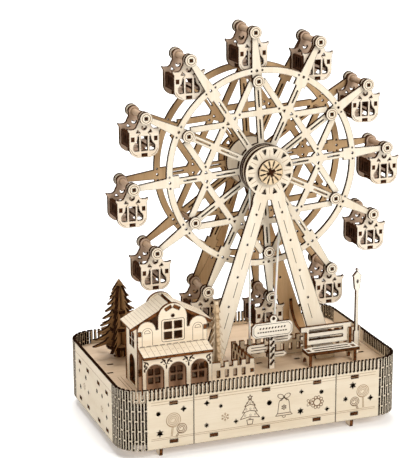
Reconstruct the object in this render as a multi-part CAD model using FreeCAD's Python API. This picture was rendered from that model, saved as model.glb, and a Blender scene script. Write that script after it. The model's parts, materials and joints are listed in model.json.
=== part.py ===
import FreeCAD, Part
import math
import os

os.makedirs("parts", exist_ok=True)

V = FreeCAD.Vector

# Sheet and fits
SHEET = 3.0
MOVE_GAP = 0.3
TENON_FIT = 0.05
RUN_FIT = 0.06

# Base box
BASE_LENGTH = 262.6
BASE_DEPTH = 168.0
CORNER_R = 22.8
WALL_HEIGHT = 54.8
FOOT_HEIGHT = 8.0
DECK_DROP = 12.5
FLOOR_RISE = 4.4
SEAM_X = 66.6
FRONT_TAB_X = (-85.0, -48.5, 0.0, 48.5, 85.0)
SIDE_TAB_Y = (-41.0, -16.5, 16.5, 41.0)
TAB_LENGTH = 7.2
SEAM_GAP = 0.35
BALUSTER_PITCH = 3.66
BALUSTER_DEPTH = 9.7
BALUSTER_NECK = 1.9
BALUSTER_BULB = 2.3
BALUSTER_OVER = 3.0
PANEL_MARGIN = 0.4
SIDE_BALUSTERS = 12
HINGE_COLUMNS = 13
HINGE_EXTRA = 2
HINGE_ROWS = 3
HINGE_BRIDGE = 1.3
HINGE_NECK = 1.3
HINGE_BULB = 1.85

# Wheel
HUB_X = 22.9
HUB_Z = 229.7
AXLE_CIRCLE_R = 120.0
TIE_CIRCLE_R = 77.5
RING_OUTER_R = 89.4
RING_INNER_R = 83.8
HUB_DISC_R = 23.0
REST_ANGLE = -4.03
WHEEL_INNER_Y = 15.4
ARM_ROOT_HALF = 4.4
ARM_TIP_HALF = 2.1
SPOKE_HALF = 3.0
SPOKE_SLOT = 1.1
NODE_R = 53.0
HEX_DIST = 49.4
STAR_DIST = 43.3
LATTICE_HALF = 2.7
WASHER_R = 5.5
SQUARE_PEG = 3.0
ROLLER_R = 2.75
PIN_HOLE_R = 0.85

# A-frames and main shaft
AFRAME_INNER_Y = 30.7
AFRAME_HUB_R = 22.6
LEG_OUTER_TOP = 16.4
LEG_INNER_TOP = 2.8
LEG_TOP_DROP = 29.6
LEG_OUTER_SLOPE = 0.341
LEG_INNER_SLOPE = 0.296
LEG_FOOT_LIMIT = 65.2
CROTCH_DROP = 25.6
SHAFT_R = 4.5
CAP_R = 11.2
CAP_SLOTS = 12
CAP_SLOT_AT = 8.0
CAP_SLOT_WIDTH = 1.0
CAP_SLOT_LENGTH = 4.6
CAP_CROSS_LONG = 4.0
CAP_CROSS_TURN = 20.0
CAP_SLOT_TURN = 8.0
HUB_TRIANGLES = 12
TRIANGLE_HALF = 2.1
TRIANGLE_OUT = 20.3
TRIANGLE_IN = 15.4
LEG_HOLE_DROPS = (37.6, 64.0, 92.8, 119.2)
LEG_HOLE_R = 0.9
LEG_TAB_HALF = 6.0
TIE_OFFSET = 49.1
TIE_TAB_LOWS = (6.0, 20.0)
TIE_TAB_HEIGHT = 6.0
TIE_MIDDLE = 13.4
TIE_END = 38.0
TIE_RISE = 2.0

# Belt drive
GROOVE_R_TOP = 14.0
GROOVE_R_LOW = 9.1
BELT_R = 1.0
BELT_CLEAR = 0.3
LOW_SHAFT_X = 18.2
LOW_SHAFT_Z = 31.4
LOW_SHAFT_R = 3.0
LOW_FLANGE_R = 14.0
CRANK_LENGTH = 20.0
GRIP_LENGTH = 18.0
GRIP_R = 4.2
GRIP_BORE_R = 2.0
GRIP_END_GAP = 0.3
PIN_HEAD_R = 3.4
PIN_PEG_HALF = 1.5
CRANK_PEG_HALF = 1.9
CRANK_BOSS_R = 6.0
CRANK_TIP_R = 4.6
CRANK_ROOT_HALF = 4.4
CRANK_END_HALF = 3.6
CRANK_WASHER_R = 6.0
CRANK_WASHER_THICK = 2.0
BELT_SLOT_WIDTH = 5.0
BELT_SLOT_LENGTH = 8.0
RIB_Y = (-37.0, 58.0)
RIB_X = (-28.0, 62.0)
RIB_WINDOW_X = (-12.0, 46.0)
RIB_WINDOW_WIDTH = 12.0
RIB_WINDOW_HEIGHT = 16.0
SHAFT_STUB = 3.0

# Gondola, heights below its axle
GONDOLA_HALF_WIDTH = 13.4
GONDOLA_BOTTOM = 34.8
GONDOLA_SHOULDER = 10.0
GONDOLA_CORNER_R = 8.8
NECK_R = 5.0
SIDE_PLATE_X = 10.3
SIDE_PLATE_TOP = 14.6
SIDE_PLATE_LOW = 27.5
SIDE_TAB_TOP = 16.6
SIDE_TAB_LOW = 20.6
WINDOW_TOP = 16.2
WINDOW_LOW = 28.9
WINDOW_HALF = 2.9
WINDOW_FRAME = 1.8
CABIN_FLOOR_TOP = 31.0
CABIN_FLOOR_HALF = 6.2
CABIN_TAB_HALF = 2.7
CABIN_SEAT_TOP = 24.4
CABIN_SEAT_THICK = 2.0
CABIN_SEAT_INNER = 3.4
SLAT_SLOT_PITCH = 4.6
SLAT_SLOT_WIDTH = 2.6
SLAT_SLOT_HEIGHT = 9.0
SLAT_SLOT_DROP = 20.4

# Heights that follow from the base
RIM_Z = FOOT_HEIGHT + WALL_HEIGHT
DECK_TOP = RIM_Z - DECK_DROP
DECK_BOTTOM = DECK_TOP - SHEET
FLOOR_BOTTOM = FOOT_HEIGHT + FLOOR_RISE
FLOOR_TOP = FLOOR_BOTTOM + SHEET
HALF_L = BASE_LENGTH / 2
HALF_D = BASE_DEPTH / 2


def rect(x0, y0, x1, y1):
    return Part.makePlane(x1 - x0, y1 - y0, V(x0, y0, 0))


def poly(points):
    pts = [V(p[0], p[1], 0) for p in points]
    return Part.Face(Part.makePolygon(pts + [pts[0]]))


def circle(cx, cy, r):
    return Part.Face(Part.Wire(Part.makeCircle(r, V(cx, cy, 0))))


def path(start, steps):
    """Closed face from straight steps (x, y) and arc steps (mid x, mid y, x, y)."""
    edges = []
    here = V(start[0], start[1], 0)
    for s in steps:
        there = V(s[-2], s[-1], 0)
        if len(s) == 2:
            edges.append(Part.makeLine(here, there))
        else:
            edges.append(Part.Arc(here, V(s[0], s[1], 0), there).toShape())
        here = there
    first = V(start[0], start[1], 0)
    if here.distanceToPoint(first) > 1e-6:
        edges.append(Part.makeLine(here, first))
    return Part.Face(Part.Wire(edges))


def slot(cx, cy, w, h):
    """Upright round-ended slot, w wide and h high over all."""
    r = w / 2
    k = h / 2 - r
    return path((cx - r, cy - k), [(cx, cy - k - r, cx + r, cy - k), (cx + r, cy + k),
                                   (cx, cy + k + r, cx - r, cy + k)])


def bone(cx, cy, neck, bulb, h):
    """Upright slot with a round bulb at each end and a narrower neck."""
    k = h / 2 - bulb / 2
    a = neck / 2
    b = bulb / 2
    s = math.sqrt(b * b - a * a)
    return path((cx - a, cy - k + s), [(cx, cy - k - b, cx + a, cy - k + s), (cx + a, cy + k - s),
                                       (cx, cy + k + b, cx - a, cy + k - s)])


def star(cx, cy, n, outer, inner):
    pts = []
    for i in range(2 * n):
        r = outer if i % 2 == 0 else inner
        a = math.pi * i / n + math.pi / 2
        pts.append((cx + r * math.cos(a), cy + r * math.sin(a)))
    return poly(pts)


def bar(x0, y0, x1, y1, half0, half1=None):
    """Flat bar between two points with the given half widths at its ends."""
    half1 = half0 if half1 is None else half1
    d = math.hypot(x1 - x0, y1 - y0)
    nx, ny = -(y1 - y0) / d, (x1 - x0) / d
    return poly([(x0 + nx * half0, y0 + ny * half0), (x1 + nx * half1, y1 + ny * half1),
                 (x1 - nx * half1, y1 - ny * half1), (x0 - nx * half0, y0 - ny * half0)])


def bottom(body):
    """The faces of a flat body that lie in the local plane, as one shape."""
    faces = [f for f in body.Faces if f.BoundBox.ZMax < 1e-6]
    return faces[0] if len(faces) == 1 else Part.makeCompound(faces)


def prism(face):
    return face.extrude(V(0, 0, 1))


def union(faces):
    """One outline from several overlapping ones."""
    body = prism(faces[0]).fuse([prism(f) for f in faces[1:]])
    return bottom(body.removeSplitter())


def minus(face, cuts):
    """The outline with the cut-outs taken away."""
    if not cuts:
        return face
    return bottom(prism(face).cut([prism(c) for c in cuts]))


def turned(shape, degrees, cx=0.0, cy=0.0):
    s = shape.copy()
    s.rotate(V(cx, cy, 0), V(0, 0, 1), degrees)
    return s


def moved(shape, dx, dy, dz=0.0):
    s = shape.copy()
    s.translate(V(dx, dy, dz))
    return s


def mirrored(shape, x=0.0):
    """Mirror image across the local line at x."""
    return shape.mirror(V(x, 0, 0), V(1, 0, 0))


def plate_xz(face, y0, t=SHEET):
    """Upright plate facing the front: local x, y become X, Z; it fills y0 to y0 + t."""
    s = face.extrude(V(0, 0, t))
    s.rotate(V(0, 0, 0), V(1, 0, 0), 90)
    s.translate(V(0, y0 + t, 0))
    return s


def plate_yz(face, x0, t=SHEET):
    """Upright plate facing the side: local x, y become Y, Z; it fills x0 to x0 + t."""
    s = face.extrude(V(0, 0, t))
    s.rotate(V(0, 0, 0), V(1, 1, 1), 120)
    s.translate(V(x0, 0, 0))
    return s


def plate_xy(face, z0, t=SHEET):
    s = face.extrude(V(0, 0, t))
    s.translate(V(0, 0, z0))
    return s


def cylinder_y(x, z, r, y0, y1):
    return Part.makeCylinder(r, y1 - y0, V(x, y0, z), V(0, 1, 0))


def box(x0, y0, z0, x1, y1, z1):
    return Part.makeBox(x1 - x0, y1 - y0, z1 - z0, V(x0, y0, z0))


def save(name, shapes):
    """Write one node; a list becomes a group of separate solids."""
    solids = []
    for s in shapes if isinstance(shapes, (list, tuple)) else [shapes]:
        solids.extend(s.Solids)
    out = solids[0] if len(solids) == 1 else Part.makeCompound(solids)
    bad = [i for i, s in enumerate(solids) if not s.isValid()]
    if bad:
        print("not valid:", name, bad)
    out.exportStep("parts/%s.step" % name)


def polar(radius, degrees):
    """Local x, y of a point on the wheel, degrees counted clockwise from the top."""
    a = math.radians(degrees)
    return radius * math.sin(a), radius * math.cos(a)


def wheel_point(radius, degrees):
    x, z = polar(radius, degrees + REST_ANGLE)
    return HUB_X + x, HUB_Z + z


# Outline of the plates inside the walls
CORNER_ALLOWANCE = 1.2
INNER_R = CORNER_R - SHEET + CORNER_ALLOWANCE


def inner_outline():
    """Rounded rectangle that just touches the straight runs of the walls."""
    hx = HALF_L - SHEET
    hy = HALF_D - SHEET
    r = INNER_R
    k = r * (1 - math.sqrt(0.5))
    steps = [(-hx + k, -hy + k, -hx + r, -hy), (hx - r, -hy), (hx - k, -hy + k, hx, -hy + r), (hx, hy - r)]
    steps += [(hx - k, hy - k, hx - r, hy), (-hx + r, hy), (-hx + k, hy - k, -hx, hy - r)]
    return path((-hx, -hy + r), steps)


def edge_tabs():
    """Tabs of a horizontal plate that show through the walls."""
    half = TAB_LENGTH / 2
    tabs = []
    for x in FRONT_TAB_X:
        tabs.append(rect(x - half, -HALF_D, x + half, -HALF_D + SHEET + 2))
        tabs.append(rect(x - half, HALF_D - SHEET - 2, x + half, HALF_D))
    for y in SIDE_TAB_Y:
        tabs.append(rect(-HALF_L, y - half, -HALF_L + SHEET + 2, y + half))
        tabs.append(rect(HALF_L - SHEET - 2, y - half, HALF_L, y + half))
    return tabs


# Walls, built flat piece by piece; each small cut-out has its place along the wall, its height above
# the foot of the walls, its number of points (0 is a round hole) and its size
CENTRE_SPARKS = ((-54.8, 36.0, 4, 2.0), (-42.0, 31.6, 0, 1.4), (-55.2, 15.6, 6, 1.7), (-28.0, 15.2, 4, 1.7),
                 (3.2, 28.0, 0, 2.1), (-2.8, 14.4, 6, 1.6), (32.8, 15.8, 6, 2.4), (33.6, 34.0, 4, 1.7),
                 (52.8, 31.2, 0, 1.7), (58.4, 14.2, 4, 1.7))
LEFT_SPARKS = ((-98.8, 32.4, 0, 1.8), (-76.0, 34.0, 4, 2.1), (-97.6, 14.4, 6, 2.6))
RIGHT_SPARKS = ((83.2, 32.8, 6, 2.6), (76.4, 20.8, 6, 1.9), (100.8, 18.8, 4, 2.1))
SIDE_SPARKS = ((-46.0, 31.2, 4, 1.6), (-27.0, 32.4, 0, 1.6), (-11.6, 31.6, 6, 2.0), (23.0, 31.8, 6, 2.0),
               (43.4, 31.8, 4, 1.4), (-39.8, 17.4, 4, 2.0), (15.4, 20.2, 4, 1.7), (40.6, 17.0, 6, 2.0))
STAR_OUTER = 1.25
STAR_INNER = 0.62
TAB_LEVELS = (FLOOR_BOTTOM, DECK_BOTTOM)
STRAIGHT_X = HALF_L - CORNER_R
STRAIGHT_Y = HALF_D - CORNER_R


def tab_holes(centres):
    half = TAB_LENGTH / 2 + TENON_FIT
    out = []
    for c in centres:
        for z in TAB_LEVELS:
            out.append(rect(c - half, z - TENON_FIT, c + half, z + SHEET + TENON_FIT))
    return out


def balusters(x0, x1):
    """Gaps between the balusters of a wall's top edge, open at the top."""
    n = int((x1 - x0) / BALUSTER_PITCH)
    first = (x0 + x1) / 2 - (n - 1) * BALUSTER_PITCH / 2
    height = BALUSTER_DEPTH + BALUSTER_OVER
    middle = RIM_Z + BALUSTER_OVER - height / 2
    return [bone(first + i * BALUSTER_PITCH, middle, BALUSTER_NECK, BALUSTER_BULB, height) for i in range(n)]


def hinge_slots(column):
    """Outlines of one column of hinge slots, on the local y axis; every other column is half a slot lower."""
    pitch = WALL_HEIGHT / HINGE_ROWS
    shift = pitch / 2 if column % 2 == 0 else 0.0
    rows = HINGE_ROWS if column % 2 == 0 else HINGE_ROWS + 1
    out = []
    for j in range(rows):
        z = FOOT_HEIGHT + shift + j * pitch
        out.append(bone(0, z, HINGE_NECK, HINGE_BULB, pitch - HINGE_BRIDGE))
        out.append(circle(0, z, HINGE_BULB / 2))
    return out


def sparks(places):
    """Small cut-outs, round or star-shaped."""
    out = []
    for x, height, points, size in places:
        z = FOOT_HEIGHT + height
        if points == 0:
            out.append(circle(x, z, size))
        else:
            out.append(star(x, z, points, size * STAR_OUTER, size * STAR_INNER))
    return out


def panel(x0, x1, tabs, cuts, y0):
    face = rect(x0, FOOT_HEIGHT, x1, RIM_Z)
    face = minus(face, tab_holes(tabs) + balusters(x0 + PANEL_MARGIN, x1 - PANEL_MARGIN) + cuts)
    return plate_xz(face, y0)


def hinge_corner(cx, cy, start):
    """Quarter round wall with staggered slots, start is the first angle in degrees."""
    ring = circle(0, 0, CORNER_R).cut(circle(0, 0, CORNER_R - SHEET))
    quarter = ring.common(rect(0, 0, CORNER_R, CORNER_R))
    shell = plate_xy(quarter, FOOT_HEIGHT, WALL_HEIGHT)
    step = 90.0 / HINGE_COLUMNS
    cutters = []
    for i in range(HINGE_COLUMNS):
        for outline in hinge_slots(i):
            cut = plate_yz(outline, CORNER_R - SHEET - 1, SHEET + 2)
            cut.rotate(V(0, 0, 0), V(0, 0, 1), (i + 0.5) * step)
            cutters.append(cut)
    shell = shell.cut(cutters)
    shell.rotate(V(0, 0, 0), V(0, 0, 1), start)
    shell.translate(V(cx, cy, 0))
    return shell


def side_wall(sign):
    """Left (sign -1) or right (sign 1) wrap piece: front return, side, back return."""
    xc = sign * STRAIGHT_X
    parts = []
    x0, x1 = sorted((sign * (SEAM_X + SEAM_GAP), xc))
    tabs = [x for x in FRONT_TAB_X if x0 < x < x1]
    cuts = sparks(LEFT_SPARKS if sign < 0 else RIGHT_SPARKS)
    parts.append(panel(x0, x1, tabs, cuts, -HALF_D))
    parts.append(panel(x0, x1, tabs, [], HALF_D - SHEET))
    face = rect(-STRAIGHT_Y, FOOT_HEIGHT, STRAIGHT_Y, RIM_Z)
    cuts = tab_holes(SIDE_TAB_Y)
    pitch = math.radians(90.0 / HINGE_COLUMNS) * CORNER_R
    for i in range(HINGE_EXTRA):
        for outline in hinge_slots(HINGE_COLUMNS + i):
            out = STRAIGHT_Y - (i + 0.5) * pitch
            cuts += [moved(outline, out, 0), moved(outline, -out, 0)]
    if sign < 0:
        cuts += sparks(SIDE_SPARKS)
    else:
        start = -STRAIGHT_Y + HINGE_EXTRA * pitch + PANEL_MARGIN
        cuts += balusters(start, start + (SIDE_BALUSTERS + 0.5) * BALUSTER_PITCH)
    parts.append(plate_yz(minus(face, cuts), -HALF_L if sign < 0 else HALF_L - SHEET))
    starts = (180.0, 90.0) if sign < 0 else (270.0, 0.0)
    parts.append(hinge_corner(xc, -STRAIGHT_Y, starts[0]))
    parts.append(hinge_corner(xc, STRAIGHT_Y, starts[1]))
    return parts[0].fuse(parts[1:]).removeSplitter()


# Deck with the slots its furniture stands in
DECK_SLOTS = []


def deck_tab_x(x0, x1, y0):
    """Opening in the deck for a tab of a plate that faces the front."""
    DECK_SLOTS.append(rect(x0 - TENON_FIT, y0 - TENON_FIT, x1 + TENON_FIT, y0 + SHEET + TENON_FIT))
    return rect(x0, DECK_BOTTOM, x1, DECK_TOP + 1.0)


def deck_tab_y(y0, y1, x0):
    """Opening in the deck for a tab of a plate that faces the side."""
    DECK_SLOTS.append(rect(x0 - TENON_FIT, y0 - TENON_FIT, x0 + SHEET + TENON_FIT, y1 + TENON_FIT))
    return rect(y0, DECK_BOTTOM, y1, DECK_TOP + 1.0)


# A-frames
DECK_DROP_FROM_HUB = HUB_Z - DECK_TOP
TIE_X = (HUB_X - TIE_OFFSET - SHEET / 2, HUB_X + TIE_OFFSET - SHEET / 2)


def leg_outer(drop):
    return min(LEG_FOOT_LIMIT, LEG_OUTER_TOP + LEG_OUTER_SLOPE * (drop - LEG_TOP_DROP))


def leg_inner(drop):
    return LEG_INNER_TOP + LEG_INNER_SLOPE * (drop - LEG_TOP_DROP)


def aframe_face():
    """A-frame outline around the hub centre at the local origin."""
    d1 = DECK_DROP_FROM_HUB
    knee = LEG_TOP_DROP + (LEG_FOOT_LIMIT - LEG_OUTER_TOP) / LEG_OUTER_SLOPE
    leg = poly([(0, -9), (9.5, -9), (leg_outer(19.0), -19.0), (LEG_FOOT_LIMIT, -knee), (LEG_FOOT_LIMIT, -d1),
                (leg_inner(d1), -d1), (leg_inner(CROTCH_DROP), -CROTCH_DROP), (0, -CROTCH_DROP)])
    mid = (leg_inner(d1) + LEG_FOOT_LIMIT) / 2
    tab = rect(mid - LEG_TAB_HALF, -d1 - SHEET, mid + LEG_TAB_HALF, -d1 + 1)
    fillet = path((leg_outer(17.0), -17.0), [(14.2, -19.8, leg_outer(27.0), -27.0), (6.0, -20.0)])
    half = union([leg, tab, fillet])
    face = union([circle(0, 0, AFRAME_HUB_R), half, mirrored(half)])
    cuts = [circle(0, 0, SHAFT_R + RUN_FIT)]
    tri = poly([(-TRIANGLE_HALF, TRIANGLE_OUT), (TRIANGLE_HALF, TRIANGLE_OUT), (0, TRIANGLE_IN)])
    for i in range(HUB_TRIANGLES):
        cuts.append(turned(tri, (i + 0.5) * 360.0 / HUB_TRIANGLES))
    for drop in LEG_HOLE_DROPS:
        x = (leg_outer(drop) + leg_inner(drop)) / 2
        cuts += [circle(x, -drop, LEG_HOLE_R), circle(-x, -drop, LEG_HOLE_R)]
    for tie in TIE_X:
        x = tie - HUB_X
        for low in TIE_TAB_LOWS:
            z = -d1 + low
            high = z + TIE_TAB_HEIGHT
            cuts.append(rect(x - TENON_FIT, z - TENON_FIT, x + SHEET + TENON_FIT, high + TENON_FIT))
    return minus(face, cuts)


for side in (-1, 1):
    d1 = DECK_DROP_FROM_HUB
    mid = side * (leg_inner(d1) + LEG_FOOT_LIMIT) / 2
    for y0 in (-AFRAME_INNER_Y - SHEET, AFRAME_INNER_Y):
        deck_tab_x(HUB_X + mid - LEG_TAB_HALF, HUB_X + mid + LEG_TAB_HALF, y0)

aframe = moved(aframe_face(), HUB_X, HUB_Z)
save("aframe_front", plate_xz(aframe, -AFRAME_INNER_Y - SHEET))
save("aframe_rear", plate_xz(aframe, AFRAME_INNER_Y))


def tie_face():
    """Low plate between a front and a rear leg, its top edge swept up to each leg."""
    y = AFRAME_INNER_Y
    z = DECK_TOP
    steps = [(y, z), (y, z + TIE_END), (y - 7, z + 22, y - 15, z + 16), (0, z + TIE_MIDDLE, -y + 15, z + 16),
             (-y + 7, z + 22, -y, z + TIE_END)]
    face = path((-y, z), steps)
    tabs = []
    for low in TIE_TAB_LOWS:
        tabs.append(rect(y - 1, z + low, y + SHEET, z + low + TIE_TAB_HEIGHT))
        tabs.append(rect(-y - SHEET, z + low, -y + 1, z + low + TIE_TAB_HEIGHT))
    return union([face] + tabs)


ties = []
for x0 in TIE_X:
    ties.append(plate_yz(union([tie_face(), deck_tab_y(8.0, 18.0, x0)]), x0))
save("leg_ties", ties)


# Wheel discs
TIE_ARM_HALF = 4.6
PLAIN_ARM_HALF = 5.6
PLAIN_ARM_START = 77.6
NODE_DISC_R = 6.4
AXLE_EYE_R = WASHER_R - 1.4
TIE_EYE_R = WASHER_R - 0.6
RING_HOLES = ((-5.0, 0.75), (0.0, 1.05), (5.0, 0.75))
HUB_SLOT = (35.0, 17.5)
TIE_ARM_SLOT = (62.0, 15.0)
PLAIN_ARM_SLOT = (68.0, 12.0)
NODE_HOLE_X = 9.2
NODE_TRIANGLE_X = (3.0, 5.6)
NODE_TRIANGLE_HALF = 1.4


def wheel_face():
    """Front view of one wheel disc with its first arm at the top."""
    ring = circle(0, 0, RING_OUTER_R).cut(circle(0, 0, RING_INNER_R))
    faces = [ring, circle(0, 0, HUB_DISC_R)]
    for i in range(12):
        a = i * 30
        x0, y0 = polar(HUB_DISC_R - 2, a)
        x1, y1 = polar(RING_INNER_R + 2, a)
        faces.append(bar(x0, y0, x1, y1, SPOKE_HALF))
        x2, y2 = polar(RING_OUTER_R - 2, a)
        x3, y3 = polar(AXLE_CIRCLE_R, a)
        faces.append(bar(x2, y2, x3, y3, ARM_ROOT_HALF, ARM_TIP_HALF))
        faces.append(circle(x3, y3, AXLE_EYE_R))
        if i % 2 == 0:
            cx, cy = polar(TIE_CIRCLE_R, a)
            faces.append(circle(cx, cy, TIE_EYE_R))
            xa, ya = polar(TIE_CIRCLE_R, a)
            xb, yb = polar(RING_INNER_R + 2, a)
            faces.append(bar(xa, ya, xb, yb, TIE_ARM_HALF))
        else:
            xa, ya = polar(PLAIN_ARM_START, a)
            xb, yb = polar(RING_INNER_R + 2, a)
            faces.append(bar(xa, ya, xb, yb, PLAIN_ARM_HALF))
            cx, cy = polar(NODE_R, a)
            faces.append(circle(cx, cy, NODE_DISC_R))
    reach = math.sqrt(NODE_R * NODE_R - STAR_DIST * STAR_DIST)
    far = math.sqrt(TIE_CIRCLE_R * TIE_CIRCLE_R - STAR_DIST * STAR_DIST)
    for i in range(6):
        half = HEX_DIST * math.tan(math.radians(30)) - 1.0
        faces.append(turned(rect(-half, HEX_DIST - LATTICE_HALF, half, HEX_DIST + LATTICE_HALF), i * 60))
        for s in (-1, 1):
            x0, x1 = sorted((s * (reach - 2), s * far))
            faces.append(turned(rect(x0, STAR_DIST - LATTICE_HALF, x1, STAR_DIST + LATTICE_HALF), i * 60))
    face = union(faces)
    cuts = [circle(0, 0, SHAFT_R)]
    peg = SQUARE_PEG / 2
    square = rect(-peg, -peg, peg, peg)
    for i in range(12):
        a = i * 30
        x, y = polar(AXLE_CIRCLE_R, a)
        cuts.append(moved(square, x, y))
        for off, size in RING_HOLES:
            cuts.append(turned(circle(off, (RING_OUTER_R + RING_INNER_R) / 2, size), -a))
        cuts.append(turned(slot(0, HUB_SLOT[0], SPOKE_SLOT, HUB_SLOT[1]), -a))
        if i % 2 == 0:
            x, y = polar(TIE_CIRCLE_R, a)
            cuts.append(moved(square, x, y))
            cuts.append(turned(slot(0, TIE_ARM_SLOT[0], SPOKE_SLOT, TIE_ARM_SLOT[1]), -a))
        else:
            cuts.append(turned(slot(0, PLAIN_ARM_SLOT[0], SPOKE_SLOT, PLAIN_ARM_SLOT[1]), -a))
            for s in (-1, 1):
                cuts.append(turned(circle(s * NODE_HOLE_X, NODE_R, PIN_HOLE_R), -a))
                near, far_x = (s * x for x in NODE_TRIANGLE_X)
                tri = poly([(near, NODE_R - NODE_TRIANGLE_HALF), (far_x, NODE_R),
                            (near, NODE_R + NODE_TRIANGLE_HALF)])
                cuts.append(turned(tri, -a))
    return minus(face, cuts)


disc = moved(turned(wheel_face(), -REST_ANGLE), HUB_X, HUB_Z)
save("wheel_disc_front", plate_xz(disc, -WHEEL_INNER_Y - SHEET))
save("wheel_disc_rear", plate_xz(disc, WHEEL_INNER_Y))

# Hub stack on the main shaft
FLANGE_R = 21.6
HUB_COVER_R = HUB_DISC_R - 1.0
HUB_SPACER_R = 9.0
OUTER_DISC_Y = WHEEL_INNER_Y + SHEET
PULLEY_END_Y = AFRAME_INNER_Y - MOVE_GAP


def ring_plate(r, y0, t=SHEET):
    face = circle(0, 0, r).cut(circle(0, 0, SHAFT_R))
    return plate_xz(moved(face.Faces[0], HUB_X, HUB_Z), y0, t)


save("pulley_flanges", [ring_plate(FLANGE_R, -PULLEY_END_Y), ring_plate(FLANGE_R, -PULLEY_END_Y + 2 * SHEET)])
save("pulley_core", ring_plate(GROOVE_R_TOP, -PULLEY_END_Y + SHEET))
core_half = WHEEL_INNER_Y - SHEET
covers = (-OUTER_DISC_Y - SHEET, OUTER_DISC_Y, -WHEEL_INNER_Y, core_half)
save("hub_discs", [ring_plate(HUB_COVER_R, y0) for y0 in covers])
save("hub_spacers", [ring_plate(HUB_SPACER_R, -core_half, 2 * core_half),
                     ring_plate(HUB_SPACER_R, OUTER_DISC_Y + SHEET, PULLEY_END_Y - OUTER_DISC_Y - SHEET)])

CAP_IN = AFRAME_INNER_Y + SHEET + MOVE_GAP


def cross_face(half_long, half_short):
    return union([rect(-half_long, -half_short, half_long, half_short),
                  rect(-half_short, -half_long, half_short, half_long)])


shaft = cylinder_y(HUB_X, HUB_Z, SHAFT_R, -CAP_IN, CAP_IN)
cross = moved(turned(cross_face(CAP_CROSS_LONG, SHEET / 2), -REST_ANGLE + CAP_CROSS_TURN), HUB_X, HUB_Z)
shaft = shaft.fuse([plate_xz(cross, -CAP_IN - SHEET, SHEET), plate_xz(cross, CAP_IN, SHEET)]).removeSplitter()
save("main_shaft", shaft)


def cap_face():
    cuts = [turned(cross_face(CAP_CROSS_LONG, SHEET / 2), CAP_CROSS_TURN)]
    for i in range(CAP_SLOTS):
        angle = i * 360.0 / CAP_SLOTS + CAP_SLOT_TURN
        cuts.append(turned(slot(0, CAP_SLOT_AT, CAP_SLOT_WIDTH, CAP_SLOT_LENGTH), angle))
    return minus(circle(0, 0, CAP_R), cuts)


cap = moved(turned(cap_face(), -REST_ANGLE), HUB_X, HUB_Z)
save("shaft_caps", [plate_xz(cap, -CAP_IN - SHEET), plate_xz(cap, CAP_IN)])

# Tie rods, gondola axles and their washers
AXLE_END = OUTER_DISC_Y + SHEET
peg = SQUARE_PEG / 2


def squared_rod(x, z, y0, y1):
    face = moved(turned(rect(-peg, -peg, peg, peg), -REST_ANGLE), x, z)
    return plate_xz(face, y0, y1 - y0)


def washer(x, z, y0):
    hole = turned(rect(-peg, -peg, peg, peg), -REST_ANGLE)
    return plate_xz(moved(minus(circle(0, 0, WASHER_R), [hole]), x, z), y0)


ties = []
tie_rings = []
axles = []
axle_rings = []
for i in range(12):
    x, z = wheel_point(AXLE_CIRCLE_R, i * 30)
    roller = cylinder_y(x, z, ROLLER_R, -WHEEL_INNER_Y, WHEEL_INNER_Y)
    ends = [squared_rod(x, z, -AXLE_END, -WHEEL_INNER_Y), squared_rod(x, z, WHEEL_INNER_Y, AXLE_END)]
    axles.append(roller.fuse(ends).removeSplitter())
    axle_rings += [washer(x, z, -AXLE_END), washer(x, z, OUTER_DISC_Y)]
    if i % 2 == 0:
        x, z = wheel_point(TIE_CIRCLE_R, i * 30)
        ties.append(squared_rod(x, z, -AXLE_END, AXLE_END))
        tie_rings += [washer(x, z, -AXLE_END), washer(x, z, OUTER_DISC_Y)]
save("tie_rods", ties)
save("tie_washers", tie_rings)
save("gondola_axles", axles)
save("axle_washers", axle_rings)


# Gondola
GONDOLA_Y = WHEEL_INNER_Y - MOVE_GAP


def gondola_plate_face():
    """End plate of a gondola, the axle at the local origin."""
    w = GONDOLA_HALF_WIDTH
    b = -GONDOLA_BOTTOM
    r = GONDOLA_CORNER_R
    s = -GONDOLA_SHOULDER
    k = r * (1 - math.sqrt(0.5))
    half = path((0, 0), [(NECK_R, 0), (4.9, -3.6, 6.4, -6.6), (7.4, s + 1.2, 9.4, s), (w - 2.2, s),
                         (w - 0.4, s + 0.1, w + 1.2, s + 0.9), (w + 0.9, s - 1.6, w, s - 2.6),
                         (w, b + r), (w - k, b + k, w - r, b), (0, b)])
    face = union([half, mirrored(half), circle(0, 0, NECK_R)])
    cuts = [circle(0, 0, ROLLER_R + RUN_FIT)]
    for s1 in (-1, 1):
        cuts.append(poly([(s1 * 3.4, -13.3), (s1 * 7.2, -13.1), (s1 * 5.8, -10.4)]))
        x0 = WINDOW_HALF + WINDOW_FRAME
        steps = [(x0 + 1.2, -WINDOW_TOP), (6.4, -19.6, 8.3, -22.6), (9.6, -24.6, 9.6, -26.6)]
        steps += [(9.4, -28.0, 8.2, -WINDOW_LOW), (x0, -WINDOW_LOW)]
        outer = path((x0, -WINDOW_TOP), steps)
        cuts.append(outer if s1 > 0 else mirrored(outer))
        cuts.append(rect(s1 * SIDE_PLATE_X - SHEET / 2 - TENON_FIT, -SIDE_TAB_LOW - TENON_FIT,
                         s1 * SIDE_PLATE_X + SHEET / 2 + TENON_FIT, -SIDE_TAB_TOP + TENON_FIT))
    cuts.append(rect(-WINDOW_HALF, -WINDOW_LOW, WINDOW_HALF, -WINDOW_TOP))
    cuts.append(path((-2.3, -7.9), [(0, -10.9, 2.3, -7.9), (1.3, -7.5), (0, -9.2, -1.3, -7.5)]))
    cuts.append(rect(-CABIN_TAB_HALF - TENON_FIT, -CABIN_FLOOR_TOP - SHEET - TENON_FIT,
                     CABIN_TAB_HALF + TENON_FIT, -CABIN_FLOOR_TOP + TENON_FIT))
    return minus(face, cuts)


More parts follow.
